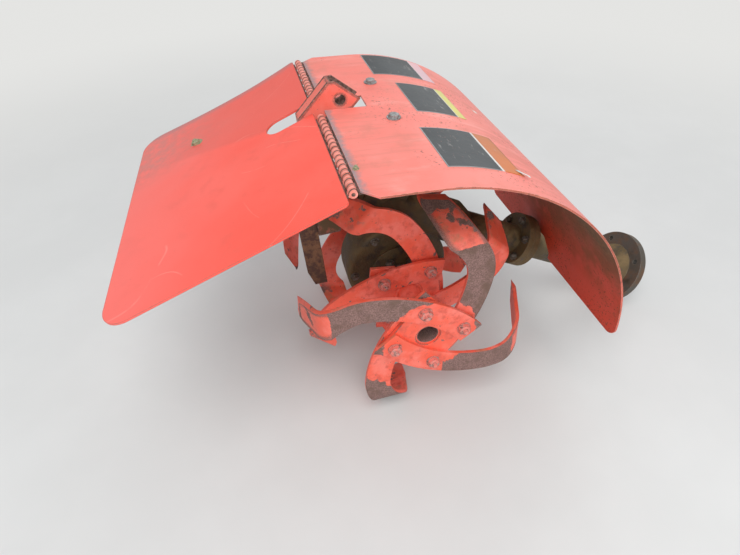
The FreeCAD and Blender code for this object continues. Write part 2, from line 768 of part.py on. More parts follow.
bar = put_on_bracket(new_body("depth_bar"))
bar_width, bar_top = size("bar_width"), size("bar_top")
bar_foot = -bar_top - size("bar_length")
extruded(bar, "YZ", [
    (-bar_width, -bar_top),
    (-bar_width, bar_foot + bar_width),
    (-size("bar_toe"), bar_foot),
    (NOUGHT, bar_foot),
    (NOUGHT, -bar_top),
], size("bar_gauge"), both=True)

# Hinge: two lengths with their own pins, one each side of the bracket
pitch, knuckle = size("knuckle_pitch"), size("knuckle_radius")
flap_turn = size("flap_droop")


def hinge_leaf(name, start, pairs, to_front, first):
    """A leaf with every second knuckle. It runs forward under the hood, or back on the flap."""
    hinge_length = pairs * 2 * pitch
    body = put_on_hinge(new_body(name), None if to_front > 0 else flap_turn)
    near, far = size("leaf_start") * to_front, size("leaf_width") * to_front
    strip = [(near, -leaf_half), (far, -leaf_half), (far, leaf_half), (near, leaf_half)]
    extruded(body, "YZ", strip, hinge_length, lift=start)
    width = pitch - size("knuckle_gap")
    at = start + first * pitch + size("knuckle_gap") / 2
    tab = [(NOUGHT, -leaf_half), (near * 1.2, -leaf_half), (near * 1.2, leaf_half), (NOUGHT, leaf_half)]
    tab_pad = extruded(body, "YZ", tab, width, lift=at)
    ring = new_sketch(body, "YZ", at)
    draw_circle(ring, NOUGHT, NOUGHT, knuckle)
    ring_pad = pad(body, ring, width)
    row = body.newObject("PartDesign::LinearPattern", name + "_row")
    row.Originals = [tab_pad, ring_pad]
    axis = next(item for item in body.Origin.OriginFeatures if item.Role == "X_Axis")
    row.Direction = (axis, [""])
    row.setExpression("Length", (hinge_length - pitch * 2).text)
    row.Occurrences = int(pairs.value)
    body.Tip = row
    doc.recompute()
    cut_round(body, "YZ", (NOUGHT, NOUGHT), size("pin_radius") + size("pin_play"))
    return body


left_length = size("left_pairs") * 2 * pitch
HINGES = [
    ("right", size("right_hinge_start"), size("right_pairs")),
    ("left", -size("left_hinge_start") - left_length, size("left_pairs")),
]
for side_name, start, pairs in HINGES:
    hinge_leaf(f"hinge_leaf_hood_{side_name}", start, pairs, 1, 0)
    hinge_leaf(f"hinge_leaf_flap_{side_name}", start, pairs, -1, 1)
    pin = put_on_hinge(new_body(f"hinge_pin_{side_name}"))
    pin_sketch = new_sketch(pin, "YZ", start)
    draw_circle(pin_sketch, NOUGHT, NOUGHT, size("pin_radius"))
    pad(pin, pin_sketch, pairs * 2 * pitch)

# Flap: a flat sheet on the hinge's rear leaves, with a slot round the bracket
flap = put_on_hinge(new_body("flap"), flap_turn)
length, corner, flap_trim = size("flap_length"), size("flap_corner"), size("flap_trim")
slot_side, slot_end = size("flap_slot_width") / 2, size("flap_slot_length")
skew = size("flap_skew")
right_foot, left_foot = -length - skew, skew - length
extruded(flap, "XY", [
    (corner - half_width, left_foot),
    (half_width - corner, right_foot, corner, 1),
    (half_width, corner + right_foot),
    (half_width, -setback - flap_trim),
    (half_width - flap_trim, -setback),
    (aside + slot_side, -setback),
    (aside + slot_side, slot_side - slot_end, slot_side, -1),
    (aside, -slot_end, slot_side, -1),
    (aside - slot_side, slot_side - slot_end),
    (aside - slot_side, -setback),
    (flap_trim - half_width, -setback),
    (-half_width, -setback - flap_trim),
    (-half_width, corner + left_foot, corner, 1),
], size("flap_gauge"), lift=leaf_half)

# Rotor: the shaft through the case, a hub tube on each end of it, and two plates a side


def put_on_rotor(thing, turn=None):
    return put(thing, y=rotor_y, z=rotor_z, turn=turn)


tine_shaft = put_on_rotor(new_body("tine_shaft"))
turned(tine_shaft, "H", box_outline(-size("shaft_end"), NOUGHT, size("shaft_end"), shaft))

hub, bore = size("hub_radius"), size("hub_bore")
plate_gauge = size("plate_gauge")
hub_end = size("outer_plate_at") + plate_gauge / 2 - size("hub_flush")
bolt_at = size("bolt_square") / 2
plate_side = bolt_at + size("plate_margin")
chamfer = size("plate_margin") * 0.8
for side, side_name in ((1, "right"), (-1, "left")):
    hub_tube = put_on_rotor(new_body(f"hub_tube_{side_name}"))
    turned(hub_tube, "H", [
        (size("hub_start") * side, bore),
        (size("shaft_end") * side, bore),
        (size("shaft_end") * side, size("hub_mouth")),
        (hub_end * side, size("hub_mouth")),
        (hub_end * side, hub),
        (size("hub_start") * side, hub),
    ])
    for place in ("inner", "outer"):
        name = f"tine_plate_{side_name}_{place}"
        start_pad = next(row[-1] for row in TINE_SETS if row[0] == f"tines_{side_name}_{place}")
        tine_plate = put_on_rotor(new_body(name), Dim(start_pad, f"{start_pad:.6f}"))
        middle = size(f"{place}_plate_at") * side - plate_gauge / 2
        extruded(tine_plate, "YZ", [
            (chamfer - plate_side, -plate_side),
            (plate_side - chamfer, -plate_side),
            (plate_side, chamfer - plate_side),
            (plate_side, plate_side - chamfer),
            (plate_side - chamfer, plate_side),
            (chamfer - plate_side, plate_side),
            (-plate_side, plate_side - chamfer),
            (-plate_side, chamfer - plate_side),
        ], plate_gauge, lift=middle)
        cut_round(tine_plate, "YZ", (NOUGHT, NOUGHT), hub + size("hub_play"))
        for across in (-bolt_at, bolt_at):
            for above in (-bolt_at, bolt_at):
                cut_round(tine_plate, "YZ", (across, above), size("bolt_hole"))

for name, shape in tine_shapes.items():
    tines = label(doc.addObject("Part::Feature", name), name)
    tines.Shape = shape
    put_on_rotor(tines)

doc.recompute()
for thing in doc.Objects:
    if {"Invalid", "Error"} & set(thing.State):
        raise RuntimeError(f"{thing.Label}: {thing.State}")
for thing in nodes:
    if thing.Shape.isNull() or not thing.Shape.isValid():
        raise RuntimeError(f"{thing.Label} has no valid shape")

os.makedirs("parts", exist_ok=True)
for thing in nodes:
    thing.Shape.exportStep(f"parts/{thing.Label}.step")
    low, high = thing.Shape.BoundBox.ZMin, thing.Shape.BoundBox.ZMax
    print(f"{thing.Label}: {len(thing.Shape.Solids)} solids, {thing.Shape.Volume / 1000:.1f} cm3, "
          f"z {low:.1f} to {high:.1f}")
print(f"slope {number('drive_slope'):.3f}, rotor {number('rotor_y'):.3f} {number('rotor_z'):.3f}")
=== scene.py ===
import math

import bmesh
import bpy
from mathutils import Matrix, Vector


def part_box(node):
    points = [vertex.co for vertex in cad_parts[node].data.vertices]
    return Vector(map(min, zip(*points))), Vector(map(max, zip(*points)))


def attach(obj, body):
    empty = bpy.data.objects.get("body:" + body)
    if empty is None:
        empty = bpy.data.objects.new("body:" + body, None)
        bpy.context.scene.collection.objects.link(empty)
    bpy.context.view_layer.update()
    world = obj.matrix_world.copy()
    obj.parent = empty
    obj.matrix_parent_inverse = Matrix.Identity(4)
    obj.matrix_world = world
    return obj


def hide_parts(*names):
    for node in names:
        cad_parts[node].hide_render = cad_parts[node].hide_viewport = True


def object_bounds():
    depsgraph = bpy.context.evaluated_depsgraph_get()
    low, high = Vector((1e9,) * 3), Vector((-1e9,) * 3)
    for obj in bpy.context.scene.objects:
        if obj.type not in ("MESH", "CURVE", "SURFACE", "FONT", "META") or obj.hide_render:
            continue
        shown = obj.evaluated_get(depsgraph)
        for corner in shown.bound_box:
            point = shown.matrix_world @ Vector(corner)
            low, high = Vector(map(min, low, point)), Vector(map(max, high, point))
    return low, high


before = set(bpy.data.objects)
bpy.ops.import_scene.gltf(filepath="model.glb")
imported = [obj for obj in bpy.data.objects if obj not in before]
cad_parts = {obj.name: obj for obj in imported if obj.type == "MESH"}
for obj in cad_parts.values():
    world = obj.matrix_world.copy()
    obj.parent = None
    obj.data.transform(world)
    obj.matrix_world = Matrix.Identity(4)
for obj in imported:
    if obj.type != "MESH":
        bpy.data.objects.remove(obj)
cad_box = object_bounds()


# Camera. It stands at the right rear of the tiller and looks down across the hood at the tines.
# Its place is measured from the hinge line that joins hood and flap.
pin_low, pin_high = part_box("hinge_pin_right")
hinge = Vector((0, (pin_low.y + pin_high.y) / 2, (pin_low.z + pin_high.z) / 2))
view = bpy.data.cameras.new("view")
view.sensor_width = 36
view.lens = 25.98
view.clip_start = 0.02
camera = bpy.data.objects.new("view", view)
bpy.context.scene.collection.objects.link(camera)
look_right = Vector((0.23994, 0.97079, 0))
look_up = Vector((-0.62760, 0.15512, 0.76293))
look_back = Vector((0.74064, -0.18306, 0.64649))
turn = Matrix((look_right, look_up, look_back)).transposed().to_4x4()
from_hinge = Vector((0.8068, -0.1133, 0.3379))
camera.matrix_world = Matrix.Translation(hinge + from_hinge) @ turn
bpy.context.scene.camera = camera
bpy.context.scene.view_settings.view_transform = "Standard"


# Light. A wide soft lamp overhead on the camera's side, a weaker one behind and a low one at
# the right, under an even sky. Rays that show the background see a plain pale colour instead.
def soft_lamp(name, place, aim, width, power):
    lamp = bpy.data.lights.new(name, "AREA")
    lamp.shape = "DISK"
    lamp.size = width
    lamp.energy = power
    thing = bpy.data.objects.new(name, lamp)
    thing.location = place
    thing.rotation_euler = (Vector(aim) - Vector(place)).to_track_quat("-Z", "Y").to_euler()
    bpy.context.scene.collection.objects.link(thing)


soft_lamp("key_lamp", (1.5, -1.1, 2.6), (0, -0.4, 0.2), width=2.0, power=46)
soft_lamp("rear_lamp", (-1.9, 1.2, 2.1), (0, -0.4, 0.2), width=2.0, power=18)
soft_lamp("low_lamp", (2.3, -0.3, 0.75), (0, -0.5, 0.15), width=1.6, power=15)


def background_rays(tree):
    """1 for the rays that show the background: the camera's, and those of gloss and glass."""
    rays = tree.nodes.new("ShaderNodeLightPath").outputs
    shown = rays["Is Camera Ray"]
    for name in ("Is Glossy Ray", "Is Transmission Ray"):
        either = tree.nodes.new("ShaderNodeMath")
        either.operation = "MAXIMUM"
        tree.links.new(shown, either.inputs[0])
        tree.links.new(rays[name], either.inputs[1])
        shown = either.outputs[0]
    return shown


BACKDROP = (0.78, 0.78, 0.765)
sky = bpy.data.worlds.new("sky")
sky.use_nodes = True
bpy.context.scene.world = sky
sky_nodes, sky_links = sky.node_tree.nodes, sky.node_tree.links
sky_light = sky_nodes["Background"]
sky_light.inputs["Color"].default_value = (0.93, 0.96, 1.0, 1)
sky_light.inputs["Strength"].default_value = 0.58
sky_seen = sky_nodes.new("ShaderNodeBackground")
sky_seen.inputs["Color"].default_value = (*BACKDROP, 1)
sky_seen.inputs["Strength"].default_value = 1.0
sky_mix = sky_nodes.new("ShaderNodeMixShader")
sky_links.new(background_rays(sky.node_tree), sky_mix.inputs[0])
sky_links.new(sky_light.outputs[0], sky_mix.inputs[1])
sky_links.new(sky_seen.outputs[0], sky_mix.inputs[2])
sky_links.new(sky_mix.outputs[0], sky_nodes["World Output"].inputs["Surface"])


# Ground. A plain pale floor that the tines and the coupling's rim stand on. Far from the machine
# it runs into the backdrop, as a studio sweep does. Its finish, like each one below it, is laid
# on in coats, from the lowest up.
class Finish:
    """A procedural material, built up from its lowest coat."""

    def __init__(self, name, colour, roughness, metal=0.0, gloss=0.5):
        self.material = bpy.data.materials.new(name)
        self.material.use_nodes = True
        self.nodes = self.material.node_tree.nodes
        self.links = self.material.node_tree.links
        self.shader = self.nodes["Principled BSDF"]
        self.shader.inputs["Metallic"].default_value = metal
        self.shader.inputs["Specular IOR Level"].default_value = gloss
        on_piece = self.nodes.new("ShaderNodeTexCoord").outputs
        self.place, self.facing_out = on_piece["Object"], on_piece["Normal"]
        self.colour = (*colour, 1.0)
        self.roughness = roughness
        self.reliefs = []
        self.round_radius = None

    def put(self, socket, value):
        if isinstance(value, bpy.types.NodeSocket):
            self.links.new(value, socket)
        else:
            socket.default_value = value

    def maths(self, operation, *values):
        node = self.nodes.new("ShaderNodeMath")
        node.operation = operation
        for socket, value in zip(node.inputs, values):
            self.put(socket, value)
        return node.outputs[0]

    def vectors(self, operation, *values):
        node = self.nodes.new("ShaderNodeVectorMath")
        node.operation = operation
        for socket, value in zip(node.inputs, values):
            self.put(socket, value)
        return node.outputs["Value" if operation in ("DOT_PRODUCT", "LENGTH") else "Vector"]

    def between(self, value, low, high):
        """0 up to low and 1 from high on, or the other way round where low is above high."""
        node = self.nodes.new("ShaderNodeMapRange")
        node.interpolation_type = "SMOOTHSTEP"
        ends = (low, high, 0.0, 1.0) if low < high else (high, low, 1.0, 0.0)
        self.put(node.inputs["Value"], value)
        for name, end in zip(("From Min", "From Max", "To Min", "To Max"), ends):
            node.inputs[name].default_value = end
        return node.outputs["Result"]

    def cloud(self, scale, detail=4.0, stretch=(1, 1, 1), shift=0.0, tilt=(0, 0, 0)):
        """Noise around 0.5, its grains 1/scale metres wide."""
        mapping = self.nodes.new("ShaderNodeMapping")
        mapping.inputs["Location"].default_value = (shift, shift * 1.7, -shift)
        mapping.inputs["Rotation"].default_value = tilt
        mapping.inputs["Scale"].default_value = stretch
        self.put(mapping.inputs["Vector"], self.place)
        noise = self.nodes.new("ShaderNodeTexNoise")
        noise.inputs["Scale"].default_value = scale
        noise.inputs["Detail"].default_value = detail
        noise.inputs["Roughness"].default_value = 0.6
        self.put(noise.inputs["Vector"], mapping.outputs[0])
        return noise.outputs["Fac"]

    def spots(self, scale, low, high, **how):
        return self.between(self.cloud(scale, **how), low, high)

    def uneven(self, value, ragged, scale):
        """Push a value to and fro with a fine cloud, so that a ramp on it has a ragged edge."""
        if not ragged:
            return value
        jog = self.maths("SUBTRACT", self.cloud(scale, 5.0), 0.5)
        return self.maths("MULTIPLY_ADD", jog, ragged, value)

    def along(self, direction, low, high, ragged=0.0, scale=40):
        """A ramp through the piece from low to high metres, its edge ragged by that much."""
        way = self.vectors("DOT_PRODUCT", self.place, direction)
        return self.between(self.uneven(way, ragged, scale), low, high)

    def facing(self, direction, low, high):
        return self.between(self.vectors("DOT_PRODUCT", self.facing_out, direction), low, high)

    def ring(self, centre, axes, low, high, ragged=0.0, scale=40):
        """A ramp with the distance from a centre, measured along the axes given as 1."""
        away = self.vectors("SUBTRACT", self.place, centre)
        reach = self.vectors("LENGTH", self.vectors("MULTIPLY", away, axes))
        return self.between(self.uneven(reach, ragged, scale), low, high)

    def softened(self, radius):
        """The surface's direction, with its edges rounded off by the radius."""
        bevel = self.nodes.new("ShaderNodeBevel")
        bevel.samples = 6
        bevel.inputs["Radius"].default_value = radius
        return bevel.outputs[0]

    def edges(self, radius, low, high, ragged=0.0, scale=120):
        """Strong near a sharp edge of the piece, within about the radius."""
        flat = self.nodes.new("ShaderNodeNewGeometry").outputs["Normal"]
        straight = self.vectors("DOT_PRODUCT", self.softened(radius), flat)
        bent = self.maths("SUBTRACT", 1.0, straight)
        return self.between(self.uneven(bent, ragged, scale), low, high)

    def both(self, *masks):
        joined = masks[0]
        for mask in masks[1:]:
            joined = self.maths("MULTIPLY", joined, mask)
        return joined

    def either(self, *masks):
        joined = masks[0]
        for mask in masks[1:]:
            joined = self.maths("MAXIMUM", joined, mask)
        return joined

    def without(self, mask):
        return self.maths("SUBTRACT", 1.0, mask)

    # A Mix node's sockets: 0 is the share, 2 and 3 take numbers, 6 and 7 take colours
    def blend(self, share, low, high):
        node = self.nodes.new("ShaderNodeMix")
        node.data_type = "RGBA"
        for socket, value in ((0, share), (6, low), (7, high)):
            if isinstance(value, tuple) and len(value) == 3:
                value = (*value, 1.0)
            self.put(node.inputs[socket], value)
        return node.outputs[2]

    def mottled(self, scale, low, high):
        return self.blend(self.spots(scale, 0.4, 0.65), low, high)

    def layer(self, mask, colour, roughness=None, share=None):
        """Another coat where the mask is 1, or that share of one."""
        if share is not None:
            mask = self.maths("MULTIPLY", mask, share)
        self.colour = self.blend(mask, self.colour, colour)
        if roughness is not None:
            node = self.nodes.new("ShaderNodeMix")
            for socket, value in ((0, mask), (2, self.roughness), (3, roughness)):
                self.put(node.inputs[socket], value)
            self.roughness = node.outputs[0]

    def relief(self, height, depth):
        self.reliefs.append((height, depth))

    def rounded(self, radius):
        self.round_radius = radius

    def done(self):
        self.put(self.shader.inputs["Base Color"], self.colour)
        self.put(self.shader.inputs["Roughness"], self.roughness)
        normal = self.softened(self.round_radius) if self.round_radius else None
        for height, depth in self.reliefs:
            bump = self.nodes.new("ShaderNodeBump")
            bump.inputs["Distance"].default_value = depth
            self.put(bump.inputs["Height"], height)
            if normal is not None:
                self.put(bump.inputs["Normal"], normal)
            normal = bump.outputs[0]
        if normal is not None:
            self.put(self.shader.inputs["Normal"], normal)
        return self.material


ground = cad_box[0].z
half_floor = 40
floor_corners = [(-1, -1), (1, -1), (1, 1), (-1, 1)]
floor_mesh = bpy.data.meshes.new("floor")
floor_mesh.from_pydata(
    [(x * half_floor, y * half_floor, ground) for x, y in floor_corners], [], [(0, 1, 2, 3)]
)
floor = bpy.data.objects.new("floor", floor_mesh)
bpy.context.scene.collection.objects.link(floor)
floor_finish = Finish("pale_floor", (0.70, 0.70, 0.685), 0.95, gloss=0.1)
floor_finish.layer(floor_finish.spots(3, 0.35, 0.7), (0.73, 0.73, 0.715))
floor.data.materials.append(floor_finish.done())
far_floor = floor_finish.ring((0, -0.4, 0), (1, 1, 0), 0.6, 2.6)
seen = background_rays(floor_finish.material.node_tree)
sweep = floor_finish.nodes.new("ShaderNodeEmission")
sweep.inputs["Color"].default_value = (*BACKDROP, 1)
fade = floor_finish.nodes.new("ShaderNodeMixShader")
floor_finish.put(fade.inputs[0], floor_finish.both(far_floor, seen))
floor_finish.put(fade.inputs[1], floor_finish.shader.outputs[0])
floor_finish.put(fade.inputs[2], sweep.outputs[0])
floor_finish.put(floor_finish.nodes["Material Output"].inputs["Surface"], fade.outputs[0])


# Hood. One 3 mm steel sheet, level at the hinge and rolled down to its front edge. Its
# orange-red paint has bleached to salmon on top, and dried soil clings to its underside.
def coat(material, *names):
    """Give CAD nodes their finish."""
    for name in names:
        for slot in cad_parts[name].material_slots:
            slot.material = material


SALMON = (0.86, 0.190, 0.148)
ORANGE_RED = (0.62, 0.047, 0.014)
STEEL_DUST = (0.25, 0.245, 0.255)
SOIL_AND_SHADE = (0.125, 0.078, 0.040)
RUST_LIGHT = (0.25, 0.145, 0.115)
hood_radius = 0.356
hood_flat = 0.098
hood_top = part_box("hood")[1].z
roll_centre = Vector((0, hinge.y + hood_flat, hood_top - hood_radius))

hood_paint = Finish("bleached_hood_paint", SALMON, 0.42)
hood_paint.layer(hood_paint.spots(5, 0.38, 0.66), (0.90, 0.235, 0.190))
hood_paint.layer(hood_paint.spots(16, 0.5, 0.75, detail=6.0), (0.72, 0.20, 0.15), 0.5)
bleach_lines = hood_paint.spots(30, 0.5, 0.72, stretch=(1, 0.3, 0.3), detail=6.0)
hood_paint.layer(hood_paint.both(bleach_lines, hood_paint.spots(7, 0.4, 0.6)), (0.90, 0.31, 0.26))
wipes = hood_paint.spots(
    90, 0.46, 0.62, stretch=(1, 0.07, 0.07), tilt=(0, 0, 0.12), detail=7.0, shift=5.0
)
wipes = hood_paint.both(wipes, hood_paint.spots(6, 0.36, 0.58, shift=8.0))
hood_paint.layer(wipes, (0.64, 0.185, 0.14), 0.55, share=0.4)
# The front edge keeps more of its colour, and pale dust lies along the hinge
fresh = hood_paint.along((0, 1, 0), roll_centre.y + 0.16, roll_centre.y + 0.34, 0.05, 12)
hood_paint.layer(fresh, (0.66, 0.135, 0.09), 0.4, share=0.8)
by_hinge = hood_paint.along((0, 1, 0), hinge.y + 0.022, hinge.y + 0.007, 0.020, 110)
hood_paint.layer(by_hinge, STEEL_DUST, 0.85, share=0.9)
grime = hood_paint.both(hood_paint.spots(220, 0.56, 0.7), hood_paint.spots(9, 0.42, 0.6))
hood_paint.layer(grime, (0.30, 0.13, 0.10), 0.8)
# Underneath: the paint's first colour, soil caked high up in the roll, and thin soil lower down
outward = hood_paint.vectors("SUBTRACT", hood_paint.place, roll_centre)
outward = hood_paint.vectors("NORMALIZE", hood_paint.vectors("MULTIPLY", outward, (0, 1, 1)))
faces_out = hood_paint.vectors("DOT_PRODUCT", outward, hood_paint.facing_out)
under = hood_paint.between(faces_out, 0.05, -0.05)
hood_paint.layer(under, ORANGE_RED, 0.5)
soil_height = hood_paint.along((0, 0, 1), hinge.z - 0.30, hinge.z - 0.12, 0.18, 9)
soil_grain = hood_paint.mottled(150, SOIL_AND_SHADE, (0.19, 0.115, 0.055))
hood_paint.layer(hood_paint.both(under, soil_height), soil_grain, 0.95)
less_soil = hood_paint.along((0, 0, 1), hinge.z - 0.33, hinge.z - 0.20, 0.10, 12)
thin_soil = hood_paint.both(under, less_soil, hood_paint.spots(26, 0.42, 0.62, detail=8.0))
hood_paint.layer(thin_soil, (0.21, 0.075, 0.030), 0.9, share=0.7)
splashes = hood_paint.both(
    under, hood_paint.spots(240, 0.58, 0.66), hood_paint.spots(12, 0.38, 0.6, shift=3.0)
)
hood_paint.layer(splashes, (0.10, 0.055, 0.028), 0.95)
# The sheet's edges are painted lighter salmon: a painted highlight. Rust shows in spots along them.
rim = hood_paint.edges(0.0022, 0.08, 0.2, 0.1)
hood_paint.layer(rim, (0.86, 0.34, 0.28), 0.5)
rim_rust = hood_paint.both(rim, hood_paint.spots(60, 0.52, 0.6))
hood_paint.layer(rim_rust, RUST_LIGHT, 0.8)
# One pale chip on the roll, ahead of the middle label
flake_turn = 0.5525
flake_out = Vector((0, math.sin(flake_turn), math.cos(flake_turn))) * hood_radius
flake_at = roll_centre + Vector((-0.031, 0, 0)) + flake_out
flake = hood_paint.ring(flake_at, (1, 1, 1), 0.0065, 0.0045, 0.006, 150)
hood_paint.layer(flake, (0.75, 0.72, 0.66), 0.6)
hood_paint.relief(hood_paint.cloud(7, 2.0), 0.006)
hood_paint.relief(hood_paint.cloud(380, 3.0), 0.00025)
hood_paint.rounded(0.0012)
coat(hood_paint.done(), "hood")


# Labels. Three printed vinyl ones, left blank here: a dark field with a pale edge and a coloured
# strip on the front side, pressed on to the hood's curve.
def on_hood(x, run, lift=0.0):
    """A point above the hood's top: across, and run along the sheet from the hinge line."""
    if run <= hood_flat:
        return Vector((x, hinge.y + run, hood_top + lift))
    angle = (run - hood_flat) / hood_radius
    reach_out = hood_radius + lift
    return roll_centre + Vector((x, math.sin(angle) * reach_out, math.cos(angle) * reach_out))


def show(name, mesh, *materials):
    thing = bpy.data.objects.new(name, mesh)
    bpy.context.scene.collection.objects.link(thing)
    for material in materials:
        thing.data.materials.append(material)
    return thing


def label_finish(name, colour, worn, scuffed):
    finish = Finish(name, colour, 0.42, gloss=0.3)
    finish.layer(finish.spots(8, 0.4, 0.7), worn)
    scuffs = finish.spots(130, 0.58, 0.7, stretch=(0.3, 1, 1))
    scuffs = finish.both(scuffs, finish.spots(14, 0.45, 0.6))
    finish.layer(scuffs, (0.55, 0.52, 0.50), 0.6, share=scuffed)
    finish.layer(finish.spots(300, 0.66, 0.74), (0.42, 0.22, 0.18), 0.7)
    finish.relief(finish.cloud(60, 2.0), 0.0006)
    return finish.done()


label_field = label_finish("slate_vinyl", (0.017, 0.023, 0.028), (0.034, 0.043, 0.049), 0.4)
label_edge = label_finish("pale_vinyl", (0.40, 0.41, 0.41), (0.28, 0.27, 0.26), 0.3)
label_line = label_finish("white_vinyl", (0.72, 0.70, 0.66), (0.60, 0.56, 0.52), 0.3)
label_pink = label_finish("pink_vinyl", (0.80, 0.44, 0.46), (0.66, 0.47, 0.52), 0.4)
label_yellow = label_finish("yellow_vinyl", (0.72, 0.66, 0.16), (0.62, 0.55, 0.20), 0.3)
label_orange = label_finish("orange_vinyl", (0.62, 0.17, 0.035), (0.50, 0.16, 0.05), 0.3)
FIELD, EDGE, LINE, STRIP = range(4)


def stick_on(label, gauge):
    """Give a label its thickness and put it on the hood's paint."""
    thick = label.modifiers.new("thickness", "SOLIDIFY")
    thick.thickness = gauge
    thick.offset = -1
    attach(label, "frame")


# Columns: name, left, right, rear, front, width of the white line, width of the strip, its finish
LABELS = [
    ("label_left", -0.217, -0.112, 0.120, 0.240, 0.0010, 0.024, label_pink),
    ("label_middle", -0.071, 0.052, 0.148, 0.236, 0.0015, 0.015, label_yellow),
    ("label_right", 0.112, 0.233, 0.132, 0.250, 0.0040, 0.033, label_orange),
]
edge_width, label_lift, label_gauge = 0.0016, 0.0005, 0.0004
field_rows, strip_rows = 24, 8
for name, left, right, rear, front, line, strip, strip_finish in LABELS:
    across = [left, left + edge_width, right - edge_width, right]
    strip_at = front - strip
    field = strip_at - line - rear - edge_width
    stops = [rear, rear + edge_width]
    stops += [rear + edge_width + field * n / field_rows for n in range(1, field_rows + 1)]
    stops += [strip_at]
    stops += [strip_at + strip * n / strip_rows for n in range(1, strip_rows + 1)]
    sheet = bmesh.new()
    grid = [[sheet.verts.new(on_hood(x, run, label_lift)) for x in across] for run in stops]
    for row in range(len(stops) - 1):
        here, ahead = grid[row], grid[row + 1]
        for column in range(3):
            corners = (here[column], here[column + 1], ahead[column + 1], ahead[column])
            face = sheet.faces.new(corners)
            face.smooth = True
            if stops[row] >= strip_at - 1e-6:
                face.material_index = STRIP
            elif stops[row + 1] > strip_at - line / 2:
                face.material_index = LINE
            else:
                face.material_index = FIELD if column == 1 and row > 0 else EDGE
    mesh = bpy.data.meshes.new(name)
    sheet.to_mesh(mesh)
    stick_on(show(name, mesh, label_field, label_edge, label_line, strip_finish), label_gauge)

# The near label's front corner has torn and curls up off the paint.
# Columns: across, run along the hood, half its width there, height above the paint
CURL = [
    (0.2175, 0.2440, 0.0030, 0.0008),
    (0.2240, 0.2475, 0.0045, 0.0016),
    (0.2300, 0.2490, 0.0040, 0.0030),
    (0.2355, 0.2520, 0.0022, 0.0042),
    (0.2400, 0.2530, 0.0008, 0.0040),
]
front_rise, torn_gauge = 0.0006, 0.0003
curl = bmesh.new()
curl_rows = []
for across, run, width, lift in CURL:
    pair = (on_hood(across, run - width, lift), on_hood(across, run + width, lift + front_rise))
    curl_rows.append([curl.verts.new(corner) for corner in pair])
for first, second in zip(curl_rows, curl_rows[1:]):
    curl.faces.new((first[0], second[0], second[1], first[1])).smooth = True
curl_mesh = bpy.data.meshes.new("torn_label_corner")
curl.to_mesh(curl_mesh)
stick_on(show("torn_label_corner", curl_mesh, label_line), torn_gauge)


# Bolts through the hood. Zinc-plated hex heads on flat washers, dulled by weather, with one
# small brass screw by the hinge. Their nuts hold the saddle's flanges underneath.
def new_tree(name, *sizes):
    """A tree that takes places, sizes and a finish, and what it is given."""
    tree = bpy.data.node_groups.new(name, "GeometryNodeTree")
    kinds = [("Places", "Geometry"), *((size, "Float") for size in sizes), ("Finish", "Material")]
    for socket, kind in kinds:
        tree.interface.new_socket(socket, in_out="INPUT", socket_type=f"NodeSocket{kind}")
    tree.interface.new_socket("Geometry", in_out="OUTPUT", socket_type="NodeSocketGeometry")
    return tree, tree.nodes.new("NodeGroupInput").outputs


def on_places(tree, get, piece):
    """The piece on each place, standing along the place's own way."""
    add, link = tree.nodes.new, tree.links.new
    way = add("GeometryNodeInputNamedAttribute")
    way.data_type = "FLOAT_VECTOR"
    way.inputs["Name"].default_value = "way"
    stand = add("FunctionNodeAlignRotationToVector")
    stand.axis = "Z"
    link(way.outputs["Attribute"], stand.inputs["Vector"])
    spread = add("GeometryNodeInstanceOnPoints")
    link(get["Places"], spread.inputs["Points"])
    link(piece, spread.inputs["Instance"])
    link(stand.outputs[0], spread.inputs["Rotation"])
    return spread.outputs[0]


def finished(tree, get, shape):
    """End a tree: give the shape its finish and hand it out."""
    paint = tree.nodes.new("GeometryNodeSetMaterial")
    tree.links.new(shape, paint.inputs["Geometry"])
    tree.links.new(get["Finish"], paint.inputs["Material"])
    tree.links.new(paint.outputs[0], tree.nodes.new("NodeGroupOutput").inputs["Geometry"])
    return tree


